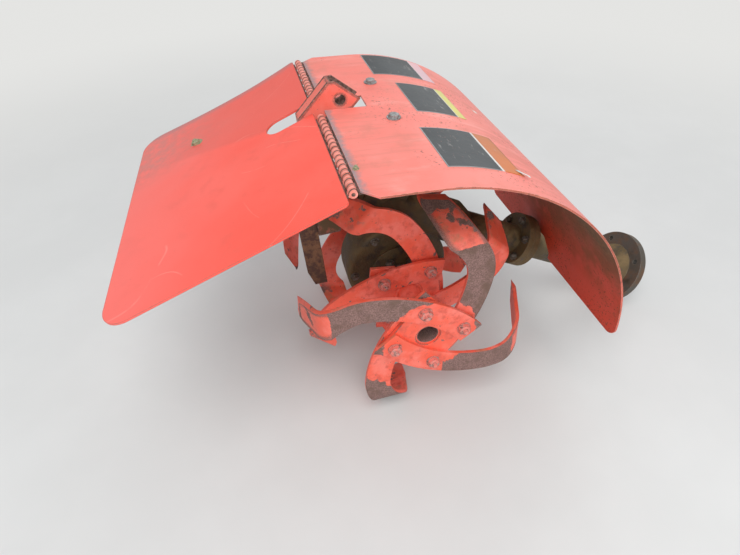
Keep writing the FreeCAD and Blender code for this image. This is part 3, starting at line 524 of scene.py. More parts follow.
def fastener_tree():
    """Hex heads or nuts on washers, one on each place."""
    names = ("Hex", "Washer", "Stud")
    sizes = [f"{name} {size}" for name in names for size in ("radius", "height")]
    tree, get = new_tree("fasteners", *sizes)
    add, link = tree.nodes.new, tree.links.new

    def maths(operation, first, second):
        node = add("ShaderNodeMath")
        node.operation = operation
        for socket, value in zip(node.inputs, (first, second)):
            if isinstance(value, bpy.types.NodeSocket):
                link(value, socket)
            else:
                socket.default_value = value
        return node.outputs[0]

    def barrel(sides, low, high, height, base=None):
        """A round or six-sided piece, straight or tapered, on a base or on the place itself."""
        cone = add("GeometryNodeMeshCone")
        cone.inputs["Vertices"].default_value = sides
        link(low, cone.inputs["Radius Bottom"])
        link(high, cone.inputs["Radius Top"])
        link(height, cone.inputs["Depth"])
        if base is None:
            return cone.outputs["Mesh"]
        lift = add("ShaderNodeCombineXYZ")
        link(base, lift.inputs["Z"])
        move = add("GeometryNodeTransform")
        link(cone.outputs["Mesh"], move.inputs["Geometry"])
        link(lift.outputs[0], move.inputs["Translation"])
        return move.outputs[0]

    # A washer, the hexagon, its chamfered crown, and the stud's end standing out of it
    washer_top = get["Washer height"]
    body_height = maths("MULTIPLY", get["Hex height"], 0.8)
    crown_base = maths("ADD", washer_top, body_height)
    crown_height = maths("MULTIPLY", get["Hex height"], 0.2)
    top = maths("ADD", washer_top, get["Hex height"])
    round_radius = maths("MULTIPLY", get["Hex radius"], 0.88)
    small_radius = maths("MULTIPLY", get["Hex radius"], 0.72)
    stud_tip = maths("MULTIPLY", get["Stud radius"], 0.86)
    parts = [
        barrel(28, get["Washer radius"], get["Washer radius"], get["Washer height"]),
        barrel(6, get["Hex radius"], get["Hex radius"], body_height, washer_top),
        barrel(28, round_radius, small_radius, crown_height, crown_base),
        barrel(16, get["Stud radius"], stud_tip, get["Stud height"], top),
    ]
    join = add("GeometryNodeJoinGeometry")
    for part in parts:
        link(part, join.inputs[0])
    # Each is turned at random by up to a sixth of a turn; socket 3 is the largest number drawn
    twist = add("FunctionNodeRandomValue")
    twist.data_type = "FLOAT"
    twist.inputs[3].default_value = 1.047
    twist.inputs["Seed"].default_value = 7
    about = add("ShaderNodeCombineXYZ")
    link(twist.outputs[1], about.inputs["Z"])
    turned = add("FunctionNodeEulerToRotation")
    link(about.outputs[0], turned.inputs[0])
    roll = add("GeometryNodeRotateInstances")
    link(on_places(tree, get, join.outputs[0]), roll.inputs["Instances"])
    link(turned.outputs[0], roll.inputs["Rotation"])
    real = add("GeometryNodeRealizeInstances")
    link(roll.outputs[0], real.inputs[0])
    return finished(tree, get, real.outputs[0])


def grown(name, tree, places, inputs, body):
    """Run a tree on its places, keep the result as a plain mesh and put it on a body. A place
    is a point, and the way that its fastener or bead faces."""
    points = bpy.data.meshes.new(name)
    points.from_pydata([tuple(at) for at, way in places], [], [])
    ways = points.attributes.new("way", "FLOAT_VECTOR", "POINT")
    for entry, (at, way) in zip(ways.data, places):
        entry.vector = Vector(way).normalized()
    thing = show(name, points)
    modifier = thing.modifiers.new(name, "NODES")
    modifier.node_group = tree
    sockets = {item.name: item.identifier for item in tree.interface.items_tree}
    for label, value in inputs.items():
        modifier[sockets[label]] = value
    graph = bpy.context.evaluated_depsgraph_get()
    mesh = bpy.data.meshes.new_from_object(thing.evaluated_get(graph))
    thing.modifiers.clear()
    thing.data = mesh
    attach(thing, body)


fasteners = fastener_tree()


def bolt_row(name, places, finish, body, hexagon, washer, stud):
    """Like fasteners, one on each place. Hexagon, washer and stud are a radius and a height."""
    sizes = {"Finish": finish}
    for part, (radius, height) in (("Hex", hexagon), ("Washer", washer), ("Stud", stud)):
        sizes[f"{part} radius"] = radius
        sizes[f"{part} height"] = height
    grown(name, fasteners, places, sizes, body)


zinc = Finish("weathered_zinc", (0.36, 0.37, 0.37), 0.5, metal=0.55)
zinc.layer(zinc.spots(180, 0.42, 0.62), (0.25, 0.255, 0.25), 0.7)
zinc_rust = zinc.both(zinc.spots(320, 0.55, 0.68), zinc.spots(40, 0.4, 0.6))
zinc.layer(zinc_rust, (0.20, 0.11, 0.07), 0.9)
zinc.relief(zinc.cloud(700, 3.0), 0.0002)
zinc.rounded(0.0007)
zinc_finish = zinc.done()

brass = Finish("green_corroded_brass", (0.26, 0.29, 0.18), 0.6, metal=0.3)
brass.layer(brass.spots(400, 0.45, 0.6), (0.40, 0.37, 0.22), 0.7)
brass.rounded(0.0006)
brass_finish = brass.done()

UP, DOWN = Vector((0, 0, 1)), Vector((0, 0, -1))
hood_bolt_places = [on_hood(side * 0.0735, 0.1045) for side in (-1, 1)]
bolt_row(
    "hood_bolts", [(at, UP) for at in hood_bolt_places], zinc_finish, "frame",
    hexagon=(0.0084, 0.0050), washer=(0.0110, 0.0016), stud=(0.0052, 0.0002),
)
saddle_top, saddle_gauge = hinge.z + 0.001, 0.006
nut_places = [(Vector((at.x, at.y, saddle_top - saddle_gauge)), DOWN) for at in hood_bolt_places]
bolt_row(
    "hood_nuts", nut_places, zinc_finish, "frame",
    hexagon=(0.0086, 0.0070), washer=(0.0112, 0.0016), stud=(0.0045, 0.0040),
)
bolt_row(
    "hinge_screw", [(on_hood(0.2122, 0.0150), UP)], brass_finish, "frame",
    hexagon=(0.0036, 0.0030), washer=(0.0044, 0.0006), stud=(0.0018, 0.0016),
)


# Hinge. Two lengths of piano hinge, bent steel leaves with rolled knuckles on plain pins.
# The knuckles are painted salmon, and brown dirt fills the gaps beside them.
RUST_DARK = (0.105, 0.058, 0.045)
knuckle_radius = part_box("hinge_leaf_hood_right")[1].z - hinge.z
knuckle_pitch = 0.0127

hinge_paint = Finish("dirty_hinge_paint", (0.80, 0.235, 0.175), 0.5)
hinge_paint.layer(hinge_paint.spots(60, 0.45, 0.66), (0.60, 0.15, 0.10), 0.6)
beside = hinge_paint.ring(
    hinge, (0, 1, 1), knuckle_radius + 0.0004, knuckle_radius + 0.0010, 0.0004, 200
)
# Faces turned down are painted dark brown as well: painted shade under the knuckles and leaves. The
# gaps beside the knuckles and the joints between them hold real dirt.
shade_below = hinge_paint.facing((0, 0, 1), -0.1, -0.5)
# Dirt draws a dark crescent where each knuckle meets the next, half a pitch from its middle
across_pin = hinge_paint.vectors("DOT_PRODUCT", hinge_paint.place, (1, 0, 0))
lean = hinge_paint.vectors("DOT_PRODUCT", hinge_paint.place, (0, 0.35, 0))
count = hinge_paint.maths("MULTIPLY", hinge_paint.maths("ADD", across_pin, lean), 1 / knuckle_pitch)
count = hinge_paint.maths("FRACT", hinge_paint.maths("ADD", count, 100.0))
off_middle = hinge_paint.maths("ABSOLUTE", hinge_paint.maths("SUBTRACT", count, 0.5))
crescent = hinge_paint.between(off_middle, 0.34, 0.44)
# The middle of each knuckle is painted lighter salmon: a painted highlight.
crown = hinge_paint.between(off_middle, 0.22, 0.05)
hinge_paint.layer(crown, (0.90, 0.34, 0.28), 0.42, share=0.7)
dirt_and_shade = hinge_paint.mottled(120, (0.075, 0.045, 0.034), (0.20, 0.125, 0.105))
hinge_paint.layer(hinge_paint.either(beside, shade_below, crescent), dirt_and_shade, 0.95)
crack = hinge_paint.edges(0.0012, 0.1, 0.3, 0.1, 300)
hinge_paint.layer(hinge_paint.both(crack, hinge_paint.spots(90, 0.4, 0.55)), RUST_LIGHT, 0.8)
hinge_paint.relief(hinge_paint.cloud(500, 4.0), 0.0003)
hinge_paint.rounded(0.0006)
leaves = [f"hinge_leaf_{part}_{side}" for part in ("hood", "flap") for side in ("right", "left")]
coat(hinge_paint.done(), *leaves)

pin_steel = Finish("rusty_pin_steel", (0.22, 0.14, 0.11), 0.65, metal=0.5)
pin_steel.layer(pin_steel.spots(260, 0.4, 0.65), RUST_DARK, 0.9)
coat(pin_steel.done(), "hinge_pin_right", "hinge_pin_left")


# Flap. A 3 mm sheet on the hinge's rear leaves, slotted round the bracket. Its far side has been
# bent down a few millimetres, with a faint kink from the slot's end to the lower edge.
flap_droop = math.radians(23.7)
flap_length = 0.345
down_flap = Vector((0, -math.cos(flap_droop), -math.sin(flap_droop)))
off_flap = Vector((0, -math.sin(flap_droop), math.cos(flap_droop)))
kink_start, kink_end = 0.088, 0.345
kink_shift = -0.100
bend_share = 0.034
kink_run = Vector((kink_shift, 0, 0)) + down_flap * (kink_end - kink_start)
kink_out = kink_run.cross(off_flap).normalized()
kink_foot = kink_out.dot(hinge + down_flap * kink_start)
flap_start = down_flap.dot(hinge)

flap_paint = Finish("orange_red_flap_paint", (0.93, 0.083, 0.050), 0.38)
flap_paint.layer(flap_paint.spots(4, 0.4, 0.68), (0.95, 0.108, 0.072))
flap_paint.layer(flap_paint.spots(22, 0.5, 0.72, detail=6.0), (0.86, 0.088, 0.054), 0.42)
# Past the kink the bent part is painted darker: painted shade, as that part tilts away from the
# light.
past_kink_shade = flap_paint.along(tuple(kink_out), kink_foot - 0.006, kink_foot + 0.010, 0.004, 20)
flap_paint.layer(past_kink_shade, (0.74, 0.088, 0.060), 0.5, share=0.6)
pale = flap_paint.along(tuple(down_flap), flap_start + 0.10, flap_start + 0.36, 0.12, 9)
flap_paint.layer(pale, (0.95, 0.185, 0.160), 0.46, share=0.6)
far_side = flap_paint.along((-1, 0, 0), 0.02, 0.11, 0.05, 14)
far_low = flap_paint.along(tuple(down_flap), flap_start + 0.10, flap_start + 0.33, 0.08, 14)
dusty = flap_paint.both(far_side, far_low, flap_paint.spots(60, 0.22, 0.66, detail=8.0))
flap_paint.layer(dusty, (0.55, 0.23, 0.20), 0.8, share=0.7)
far_edge = flap_paint.along((-1, 0, 0), 0.196, 0.222, 0.02, 40)
flap_paint.layer(far_edge, STEEL_DUST, 0.85, share=0.5)
# Hairline scratches: thin contour lines of a slow cloud, broken up
for size, thin, shift in ((2.5, 0.0016, 3.0), (3.4, 0.0018, 9.0)):
    slow = flap_paint.maths("SUBTRACT", flap_paint.cloud(size, 1.0, shift=shift), 0.5)
    line = flap_paint.between(flap_paint.maths("ABSOLUTE", slow), thin, 0.0)
    scratch = flap_paint.both(line, flap_paint.spots(9, 0.5, 0.56, shift=shift))
    flap_paint.layer(scratch, (0.95, 0.33, 0.28), 0.5, share=0.4)
flap_paint.layer(flap_paint.spots(420, 0.715, 0.74), (0.12, 0.05, 0.04), 0.8)
below = flap_paint.facing(tuple(off_flap), -0.2, -0.5)
flap_paint.layer(below, (0.60, 0.085, 0.045), 0.55)
crust = flap_paint.mottled(120, SOIL_AND_SHADE, (0.20, 0.12, 0.06))
caked = flap_paint.both(below, flap_paint.spots(8, 0.46, 0.56, detail=7.0))
flap_paint.layer(caked, crust, 0.95)
flap_rim = flap_paint.edges(0.0022, 0.08, 0.2, 0.1)
flap_paint.layer(flap_rim, (0.50, 0.13, 0.10), 0.6)
flap_paint.layer(flap_paint.both(flap_rim, flap_paint.spots(45, 0.5, 0.58)), RUST_LIGHT, 0.85)
flap_paint.relief(flap_paint.cloud(5, 2.0), 0.007)
flap_paint.relief(flap_paint.cloud(420, 3.0), 0.0002)
flap_paint.rounded(0.0012)

# A copy of the flat sheet is cut into a grid and along the kink, and then bent
columns, rows = 36, 24
sheet = bmesh.new()
sheet.from_mesh(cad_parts["flap"].data)
bmesh.ops.remove_doubles(sheet, verts=sheet.verts, dist=1e-5)
flap_low, flap_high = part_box("flap")
cuts = []
for n in range(1, columns):
    x = flap_low.x + (flap_high.x - flap_low.x) * n / columns
    cuts.append((Vector((x, 0, 0)), Vector((1, 0, 0))))
for n in range(1, rows):
    cuts.append((hinge + down_flap * flap_length * n / rows, down_flap))
cuts.append((hinge + down_flap * kink_start, kink_out))
for place, way in cuts:
    everything = sheet.verts[:] + sheet.edges[:] + sheet.faces[:]
    bmesh.ops.bisect_plane(sheet, geom=everything, dist=1e-6, plane_co=place, plane_no=way)
for corner in sheet.verts:
    run = (corner.co - hinge).dot(down_flap)
    share = min(max(run / flap_length, 0.0), 1.0)
    line_at = kink_shift * max(run - kink_start, 0) / (kink_end - kink_start)
    beyond = max(line_at - corner.co.x, 0.0)
    corner.co -= off_flap * beyond * bend_share * 4 * share * (1 - share)
bmesh.ops.recalc_face_normals(sheet, faces=sheet.faces)
for face in sheet.faces:
    face.smooth = True
flap_mesh = bpy.data.meshes.new("flap_sheet")
sheet.to_mesh(flap_mesh)
flap_mesh.set_sharp_from_angle(angle=math.radians(25))
flap_sheet = show("flap_sheet", flap_mesh, flap_paint.done())
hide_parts("flap")
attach(flap_sheet, "rear_flap")

# One bolt on the far half, and its nut underneath. The bent sheet's face lies 0.8 mm off the
# hinge's plane there.
flap_gauge, bent_face = 0.003, 0.0008
flap_bolt = hinge + Vector((-0.1013, 0, 0)) + down_flap * 0.2174 + off_flap * bent_face
bolt_row(
    "flap_bolt", [(flap_bolt, off_flap)], brass_finish, "rear_flap",
    hexagon=(0.0078, 0.0055), washer=(0.0118, 0.0018), stud=(0.0042, 0.0022),
)
bolt_row(
    "flap_nut", [(flap_bolt - off_flap * flap_gauge, -off_flap)], zinc_finish, "rear_flap",
    hexagon=(0.0078, 0.0060), washer=(0.0118, 0.0018), stud=(0.0040, 0.0040),
)


# Depth bracket, saddle and depth bar. The folded bracket stands up through the hood and carries
# the bar; its lever is gone and its hole is open. The saddle holds the hood to the gear case.
fold_half = 0.0125
bracket_paint = Finish("worn_bracket_paint", (0.82, 0.125, 0.080), 0.4)
bracket_paint.layer(bracket_paint.spots(14, 0.42, 0.68), (0.86, 0.20, 0.155), 0.48)
bracket_paint.layer(bracket_paint.spots(260, 0.64, 0.7), (0.22, 0.09, 0.06), 0.8)
# Lower down, below the hinge's level, the bracket is darkened in patches with soil brown: painted
# shade.
shaded = bracket_paint.along((0, 0, 1), hinge.z - 0.012, hinge.z - 0.05, 0.03, 30)
shaded = bracket_paint.both(shaded, bracket_paint.spots(18, 0.36, 0.56, detail=7.0))
bracket_paint.layer(shaded, SOIL_AND_SHADE, 0.95)
bracket_rust = bracket_paint.mottled(200, RUST_DARK, RUST_LIGHT)
bracket_paint.layer(bracket_paint.edges(0.0080, 0.018, 0.040, 0.03, 120), bracket_rust, 0.85)
# Soil and rust fill the fold: inside it, on its cut edges, and along its rear corners
from_middle = bracket_paint.vectors("DOT_PRODUCT", bracket_paint.place, (1, 0, 0))
from_middle = bracket_paint.maths("ABSOLUTE", from_middle)
rearward = bracket_paint.facing((0, -1, 0.4), 0.35, 0.2)
within = bracket_paint.between(from_middle, fold_half + 0.0003, fold_half - 0.0003)
inside = bracket_paint.both(within, rearward)
sideways = bracket_paint.vectors("DOT_PRODUCT", bracket_paint.facing_out, (1, 0, 0))
sideways = bracket_paint.maths("ABSOLUTE", sideways)
cut_edge = bracket_paint.both(bracket_paint.between(sideways, 0.4, 0.2), rearward)
jog = bracket_paint.maths("MULTIPLY", bracket_paint.cloud(90, 6.0), 0.006)
jogged = bracket_paint.maths("ADD", from_middle, jog)
corner = bracket_paint.both(
    bracket_paint.between(jogged, fold_half + 0.0007, fold_half + 0.0013),
    bracket_paint.facing((0, -1, 0.4), 0.5, 0.7),
)
high_up = bracket_paint.along((0, 0, 1), hinge.z - 0.02, hinge.z - 0.005)
caked_fold = bracket_paint.both(bracket_paint.either(inside, cut_edge, corner), high_up)
bracket_paint.layer(caked_fold, bracket_rust, 0.9)
bracket_paint.relief(bracket_paint.cloud(450, 3.0), 0.00025)
bracket_paint.rounded(0.001)
coat(bracket_paint.done(), "depth_bracket", "hood_saddle")

shaft_low, shaft_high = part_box("tine_shaft")
rotor = Vector((0, (shaft_low.y + shaft_high.y) / 2, (shaft_low.z + shaft_high.z) / 2))
bar_rust = Finish("rusty_bar", RUST_DARK, 0.88, gloss=0.3)
bar_rust.layer(bar_rust.spots(70, 0.42, 0.62, detail=7.0), (0.24, 0.125, 0.07))
bar_rust.layer(bar_rust.spots(12, 0.5, 0.62, detail=6.0), (0.17, 0.125, 0.085))
in_soil = bar_rust.along((0, 0, 1), rotor.z + 0.03, ground, 0.05, 25)
bar_rust.layer(in_soil, (0.16, 0.115, 0.075), 0.95)
bar_rust.relief(bar_rust.cloud(260, 6.0), 0.0012)
bar_rust.rounded(0.002)
coat(bar_rust.done(), "depth_bar")

# Cross bolt through the bracket's cheeks and the lug, and bolts through the saddle's legs
oily = Finish("oily_steel", (0.17, 0.155, 0.135), 0.55, metal=0.5)
oily.layer(oily.spots(120, 0.42, 0.62), (0.10, 0.075, 0.05), 0.8)
oily.layer(oily.spots(300, 0.6, 0.7), (0.24, 0.20, 0.15), 0.6)
oily.relief(oily.cloud(500, 4.0), 0.0003)
oily.rounded(0.0008)
oily_finish = oily.done()
RIGHT, LEFT = Vector((1, 0, 0)), Vector((-1, 0, 0))
lug_at, cheek_side = hinge + Vector((0, 0.0316, -0.1519)), 0.015
leg_at, leg_side = hinge + Vector((0, 0.110, -0.130)), 0.036
cross_places = []
for at, side in ((lug_at, cheek_side), (leg_at, leg_side)):
    cross_places += [(at + RIGHT * side, RIGHT), (at + LEFT * side, LEFT)]
bolt_row(
    "bracket_and_saddle_bolts", cross_places, oily_finish, "frame",
    hexagon=(0.0087, 0.0062), washer=(0.0105, 0.0016), stud=(0.0045, 0.0025),
)


# Gear case and drive. Rough iron castings bolted together: the round wheel case with the worm
# barrel on it, its caps, the drive tube with its collars and the coupling flange. They are
# filmed with old oil and dust.
casting = Finish("oily_iron_casting", (0.080, 0.056, 0.024), 0.6, gloss=0.45)
casting.layer(casting.spots(9, 0.4, 0.62, detail=6.0), (0.130, 0.085, 0.032), 0.72)
casting.layer(casting.spots(45, 0.48, 0.66, detail=7.0), (0.045, 0.034, 0.022), 0.45)
dust = casting.both(casting.facing((0, 0, 1), 0.15, 0.85), casting.spots(30, 0.36, 0.6, detail=7.0))
casting.layer(dust, (0.205, 0.145, 0.070), 0.95)
casting.layer(casting.edges(0.003, 0.12, 0.3, 0.12), (0.16, 0.12, 0.07), 0.6)
casting.relief(casting.cloud(110, 5.0), 0.0018)
casting.relief(casting.cloud(420, 4.0), 0.0006)
casting.rounded(0.0025)
coat(
    casting.done(),
    "gear_case", "worm_cap", "bearing_cap_right", "bearing_cap_left", "drive_housing",
)

flange_iron = Finish("coupling_iron", (0.085, 0.075, 0.062), 0.5, metal=0.35)
flange_iron.layer(flange_iron.spots(30, 0.42, 0.64, detail=7.0), (0.15, 0.085, 0.05), 0.85)
flange_iron.layer(flange_iron.spots(12, 0.52, 0.66), (0.055, 0.04, 0.028), 0.4)
flange_iron.layer(flange_iron.edges(0.002, 0.1, 0.28, 0.1), (0.24, 0.21, 0.18), 0.45)
flange_iron.relief(flange_iron.cloud(300, 4.0), 0.0005)
flange_iron.rounded(0.0012)
coat(flange_iron.done(), "coupling_flange")

bright = Finish("worn_shaft_steel", (0.34, 0.33, 0.31), 0.38, metal=0.85)
bright.layer(bright.spots(90, 0.44, 0.64, detail=6.0), (0.20, 0.115, 0.075), 0.8)
bright.layer(bright.spots(500, 0.5, 0.62, stretch=(1, 0.08, 1)), (0.24, 0.235, 0.225), 0.5)
bright.relief(bright.cloud(600, 3.0), 0.0002)
bright.rounded(0.001)
coat(bright.done(), "input_shaft", "tine_shaft")


def around(centre, first, second, radius, angles):
    """Points on a circle in the plane of two ways, at angles in degrees from the first."""
    turns = [math.radians(angle) for angle in angles]
    return [centre + (first * math.cos(at) + second * math.sin(at)) * radius for at in turns]


# Bolts round the wheel case and its side caps
FRONT = Vector((0, 1, 0))
case_side, case_ring = 0.038, 0.085
cap_gauge, cap_ring = 0.009, 0.0285
case_bolts = []
for way in (RIGHT, LEFT):
    on_case, on_cap = rotor + way * case_side, rotor + way * (case_side + cap_gauge)
    spots = around(on_case, FRONT, UP, case_ring, (122.5, 182.5, 242.5, 302.5, 2.5))
    spots += around(on_cap, FRONT, UP, cap_ring, (40, 130, 220, 310))
    case_bolts += [(spot, way) for spot in spots]
bolt_row(
    "case_bolts", case_bolts, oily_finish, "frame",
    hexagon=(0.0072, 0.0055), washer=(0.0086, 0.0010), stud=(0.0035, 0.0006),
)

# Bolts on the cap behind the worm, and behind the collars where neck and drive tube meet
slope = math.radians(24.966)
along_drive = Vector((0, math.cos(slope), -math.sin(slope)))
off_drive = Vector((0, math.sin(slope), math.cos(slope)))
drive_height = 0.110
cap_face = rotor - along_drive * 0.139 + off_drive * drive_height
collar_face = rotor + along_drive * 0.234 + off_drive * drive_height
worm_cap_ring, collar_ring = 0.030, 0.043
worm_cap_spots = around(cap_face, RIGHT, off_drive, worm_cap_ring, range(45, 360, 90))
bolt_row(
    "worm_cap_bolts", [(spot, -along_drive) for spot in worm_cap_spots], oily_finish, "frame",
    hexagon=(0.0050, 0.0045), washer=(0.0060, 0.0008), stud=(0.0030, 0.0003),
)
collar_spots = around(collar_face, RIGHT, off_drive, collar_ring, range(30, 360, 60))
bolt_row(
    "collar_bolts", [(spot, -along_drive) for spot in collar_spots], oily_finish, "frame",
    hexagon=(0.0072, 0.0058), washer=(0.0086, 0.0010), stud=(0.0040, 0.0012),
)


# Rotor. Two square plates a side are welded to a hub tube on the tine shaft, and each carries
# four curved flat-bar tines. Their paint is left in patches; the digging faces are rusty.
def worn_rotor_paint(name):
    """Orange-red paint over steel; the caller adds the rust where that piece has lost it."""
    finish = Finish(name, (0.86, 0.115, 0.062), 0.42)
    finish.layer(finish.spots(20, 0.42, 0.66, detail=5.0), (0.90, 0.200, 0.150), 0.5)
    finish.layer(finish.spots(55, 0.5, 0.7, detail=6.0), (0.66, 0.095, 0.06), 0.5)
    grain = finish.spots(480, 0.36, 0.62, detail=6.0)
    rust = finish.blend(grain, (0.140, 0.080, 0.069), (0.285, 0.165, 0.144))
    rust = finish.blend(finish.spots(40, 0.46, 0.72, detail=7.0), rust, (0.150, 0.088, 0.066))
    return finish, rust


def rust_over(finish, rust, bare, chips_from):
    """Rust where the metal is bare, with chips and dust on the paint that is left."""
    finish.layer(bare, rust, 0.88)
    left = finish.without(bare)
    chips = finish.spots(190, chips_from, chips_from + 0.02, detail=5.0)
    chips = finish.both(left, chips, finish.spots(22, 0.46, 0.56))
    finish.layer(chips, (0.16, 0.08, 0.06), 0.85)
    on_top = finish.facing((0, 0, 1), -0.2, 0.7)
    dust = finish.both(left, finish.spots(38, 0.5, 0.68, detail=7.0), on_top)
    finish.layer(dust, (0.33, 0.19, 0.10), 0.9, share=0.5)
    finish.relief(left, 0.0003)
    finish.relief(finish.maths("MULTIPLY", finish.cloud(420, 5.0), bare), 0.0006)
    finish.rounded(0.0012)
    return finish.done()


def tine_paint(name, side, digging_rust, late=None):
    """Outer tines have lost the paint on the outer face of the bar, from their pads on, all but
    an oval on the rolled tip. The bar's narrow edges keep theirs, and so do the inner tines."""
    finish, rust = worn_rotor_paint(name)
    way = (side, 0, 0)
    digging = finish.facing(way, 0.14, 0.28)
    border = finish.edges(0.014, 0.006, 0.016, 0.010, 60)
    far_end = finish.ring(rotor, (0, 1, 1), 0.178, 0.200, 0.03, 60)
    if digging_rust:
        past_pad = finish.ring(rotor, (0, 1, 1), 0.0800, 0.0812, 0.040, 34)
        rolled = finish.facing(way, 0.97, 0.75)
        rolled = finish.maths("MULTIPLY_ADD", finish.cloud(45, 5.0), 0.9, rolled)
        oval = finish.both(
            finish.between(rolled, 0.86, 0.89),
            finish.along(way, 0.1445, 0.1460, 0.030, 45),
        )
        oval = finish.both(oval, finish.without(border))
        bare = finish.both(digging, past_pad, finish.without(oval))
        if late is not None:
            # One tine is painted as far as its fold, and bare from there to its end
            foot = Vector(late).dot(rotor)
            this_one = finish.both(
                finish.along(late, foot + 0.054, foot + 0.056),
                finish.along((0, -1, 0), -rotor.y - 0.031, -rotor.y - 0.029),
            )
            past_fold = finish.ring(rotor, (0, 1, 1), 0.1385, 0.1400, 0.06, 34)
            past_fold = finish.both(digging, past_fold)
            others = finish.both(bare, finish.without(this_one))
            bare = finish.either(others, finish.both(this_one, past_fold))
    else:
        bare = finish.both(digging, finish.spots(60, 0.64, 0.66, detail=6.0, shift=4.0))
    tip_spots = finish.both(far_end, finish.spots(30, 0.56, 0.585, detail=6.0))
    bare = finish.either(bare, tip_spots)
    across = finish.vectors("DOT_PRODUCT", finish.facing_out, (1, 0, 0))
    narrow = finish.between(finish.maths("ABSOLUTE", across), 0.13, 0.07)
    kept = finish.both(narrow, finish.spots(50, 0.60, 0.57))
    bare = finish.both(bare, finish.without(kept))
    return rust_over(finish, rust, bare, 0.66)


bottom_tine = (0, -0.259, -0.966)
coat(tine_paint("worn_tine_paint_right_outer", 1, True, bottom_tine), "tines_right_outer")
coat(tine_paint("worn_tine_paint_right_inner", 1, False), "tines_right_inner")
coat(tine_paint("worn_tine_paint_left_outer", -1, True), "tines_left_outer")
coat(tine_paint("worn_tine_paint_left_inner", -1, False), "tines_left_inner")

# Plates and hub tubes keep most of their paint, but the open mouths are bare
holder_paint, holder_rust = worn_rotor_paint("worn_holder_paint")
bore = holder_paint.ring(rotor, (0, 1, 1), 0.0196, 0.0186, 0.001, 200)
lost = holder_paint.spots(24, 0.66, 0.68, detail=6.0)
plate_edge = holder_paint.edges(0.004, 0.06, 0.12, 0.08, 120)
plate_edge = holder_paint.both(plate_edge, holder_paint.spots(40, 0.42, 0.5))
bare_holder = holder_paint.either(bore, lost, plate_edge)
holder_finish = rust_over(holder_paint, holder_rust, bare_holder, 0.67)
holders = [f"tine_plate_{side}_{at}" for side in ("right", "left") for at in ("inner", "outer")]
coat(holder_finish, *holders, "hub_tube_right", "hub_tube_left")

# Tine bolts: a 19 mm nut on the outer face and a hex head on the inner one, the other way round
# on the left outer plate. Each clamps the pads of two tines, on the two faces of the plate.
tine_bolt = Finish("painted_tine_bolts", (0.74, 0.20, 0.16), 0.48)
tine_bolt.layer(tine_bolt.spots(140, 0.50, 0.62, detail=6.0), (0.42, 0.27, 0.24), 0.55)
tine_bolt.layer(tine_bolt.spots(190, 0.56, 0.62, detail=6.0, shift=2.0), (0.17, 0.09, 0.07), 0.85)
tine_bolt.layer(tine_bolt.edges(0.0016, 0.05, 0.14, 0.08, 300), (0.26, 0.12, 0.09), 0.7)
tine_bolt.relief(tine_bolt.cloud(600, 4.0), 0.0003)
tine_bolt.rounded(0.0009)
tine_bolt_finish = tine_bolt.done()
OUTER, INNER = 0.220, 0.108
# Columns: side of the machine, middle of the plate, angle of its first pad
TINE_PLATES = [
    (1, OUTER, 415.282),
    (1, INNER, 458.282),
    (-1, OUTER, 443.282),
    (-1, INNER, 486.282),
]
half_plate, tine_gauge = 0.004, 0.006
half_stack = half_plate + tine_gauge
to_corner = 0.043 * math.sqrt(2)
nuts, heads = [], []
for side, middle, pad_at in TINE_PLATES:
    way = RIGHT * side
    nut_side = -1 if (side, middle) == (-1, OUTER) else 1
    nut_face = side * (middle + half_stack * nut_side)
    head_face = side * (middle - half_stack * nut_side)
    for spot in around(rotor, FRONT, UP, to_corner, [pad_at + 45 + 90 * n for n in range(4)]):
        nuts.append((spot + RIGHT * nut_face, way * nut_side))
        heads.append((spot + RIGHT * head_face, way * -nut_side))
bolt_row(
    "tine_nuts", nuts, tine_bolt_finish, "rotor",
    hexagon=(0.01097, 0.0085), washer=(0.0122, 0.0014), stud=(0.0048, 0.0045),
)
bolt_row(
    "tine_bolt_heads", heads, tine_bolt_finish, "rotor",
    hexagon=(0.01097, 0.0060), washer=(0.0112, 0.0004), stud=(0.0060, 0.0002),
)


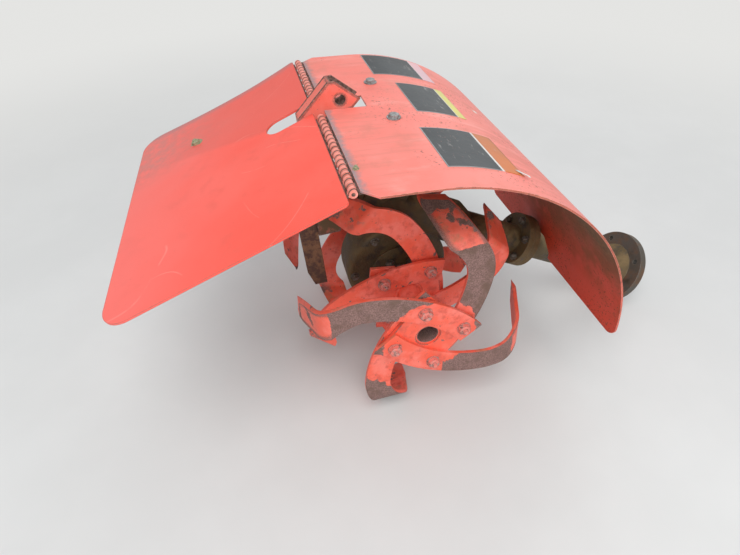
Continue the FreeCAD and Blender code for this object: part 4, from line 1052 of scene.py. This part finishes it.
# Welds. A lumpy bead runs round the hub tube on each face of the inner plates, and on the inner
# face of the outer ones, where the tube ends. It is painted over with the plates.
def weld_tree():
    """A lumpy ring of weld on each place, lying square to the place's way."""
    tree, get = new_tree("weld_beads", "Ring radius", "Bead radius", "Lumps")
    add, link = tree.nodes.new, tree.links.new
    ring = add("GeometryNodeCurvePrimitiveCircle")
    ring.inputs["Resolution"].default_value = 72
    link(get["Ring radius"], ring.inputs["Radius"])
    bead = add("GeometryNodeCurvePrimitiveCircle")
    bead.inputs["Resolution"].default_value = 8
    link(get["Bead radius"], bead.inputs["Radius"])
    tube = add("GeometryNodeCurveToMesh")
    link(ring.outputs["Curve"], tube.inputs["Curve"])
    link(bead.outputs["Curve"], tube.inputs["Profile Curve"])
    real = add("GeometryNodeRealizeInstances")
    link(on_places(tree, get, tube.outputs["Mesh"]), real.inputs[0])
    noise = add("ShaderNodeTexNoise")
    noise.inputs["Scale"].default_value = 160
    noise.inputs["Detail"].default_value = 2
    level = add("ShaderNodeMath")
    level.operation = "SUBTRACT"
    level.inputs[1].default_value = 0.5
    link(noise.outputs["Fac"], level.inputs[0])
    amount = add("ShaderNodeMath")
    amount.operation = "MULTIPLY"
    link(level.outputs[0], amount.inputs[0])
    link(get["Lumps"], amount.inputs[1])
    normal = add("GeometryNodeInputNormal")
    push = add("ShaderNodeVectorMath")
    push.operation = "SCALE"
    link(normal.outputs[0], push.inputs[0])
    link(amount.outputs[0], push.inputs["Scale"])
    move = add("GeometryNodeSetPosition")
    link(real.outputs[0], move.inputs["Geometry"])
    link(push.outputs[0], move.inputs["Offset"])
    smooth = add("GeometryNodeSetShadeSmooth")
    link(move.outputs[0], smooth.inputs["Geometry"])
    return finished(tree, get, smooth.outputs[0])


weld_places = []
for side, middle, pad_at in TINE_PLATES:
    weld_places.append((rotor + RIGHT * side * (middle - half_plate), RIGHT))
    if middle == INNER:
        weld_places.append((rotor + RIGHT * side * (middle + half_plate), RIGHT))
hub_radius = 0.022
weld_sizes = {
    "Ring radius": hub_radius + 0.0012,
    "Bead radius": 0.0032,
    "Lumps": 0.0028,
    "Finish": holder_finish,
}
grown("hub_welds", weld_tree(), weld_places, weld_sizes, "rotor")
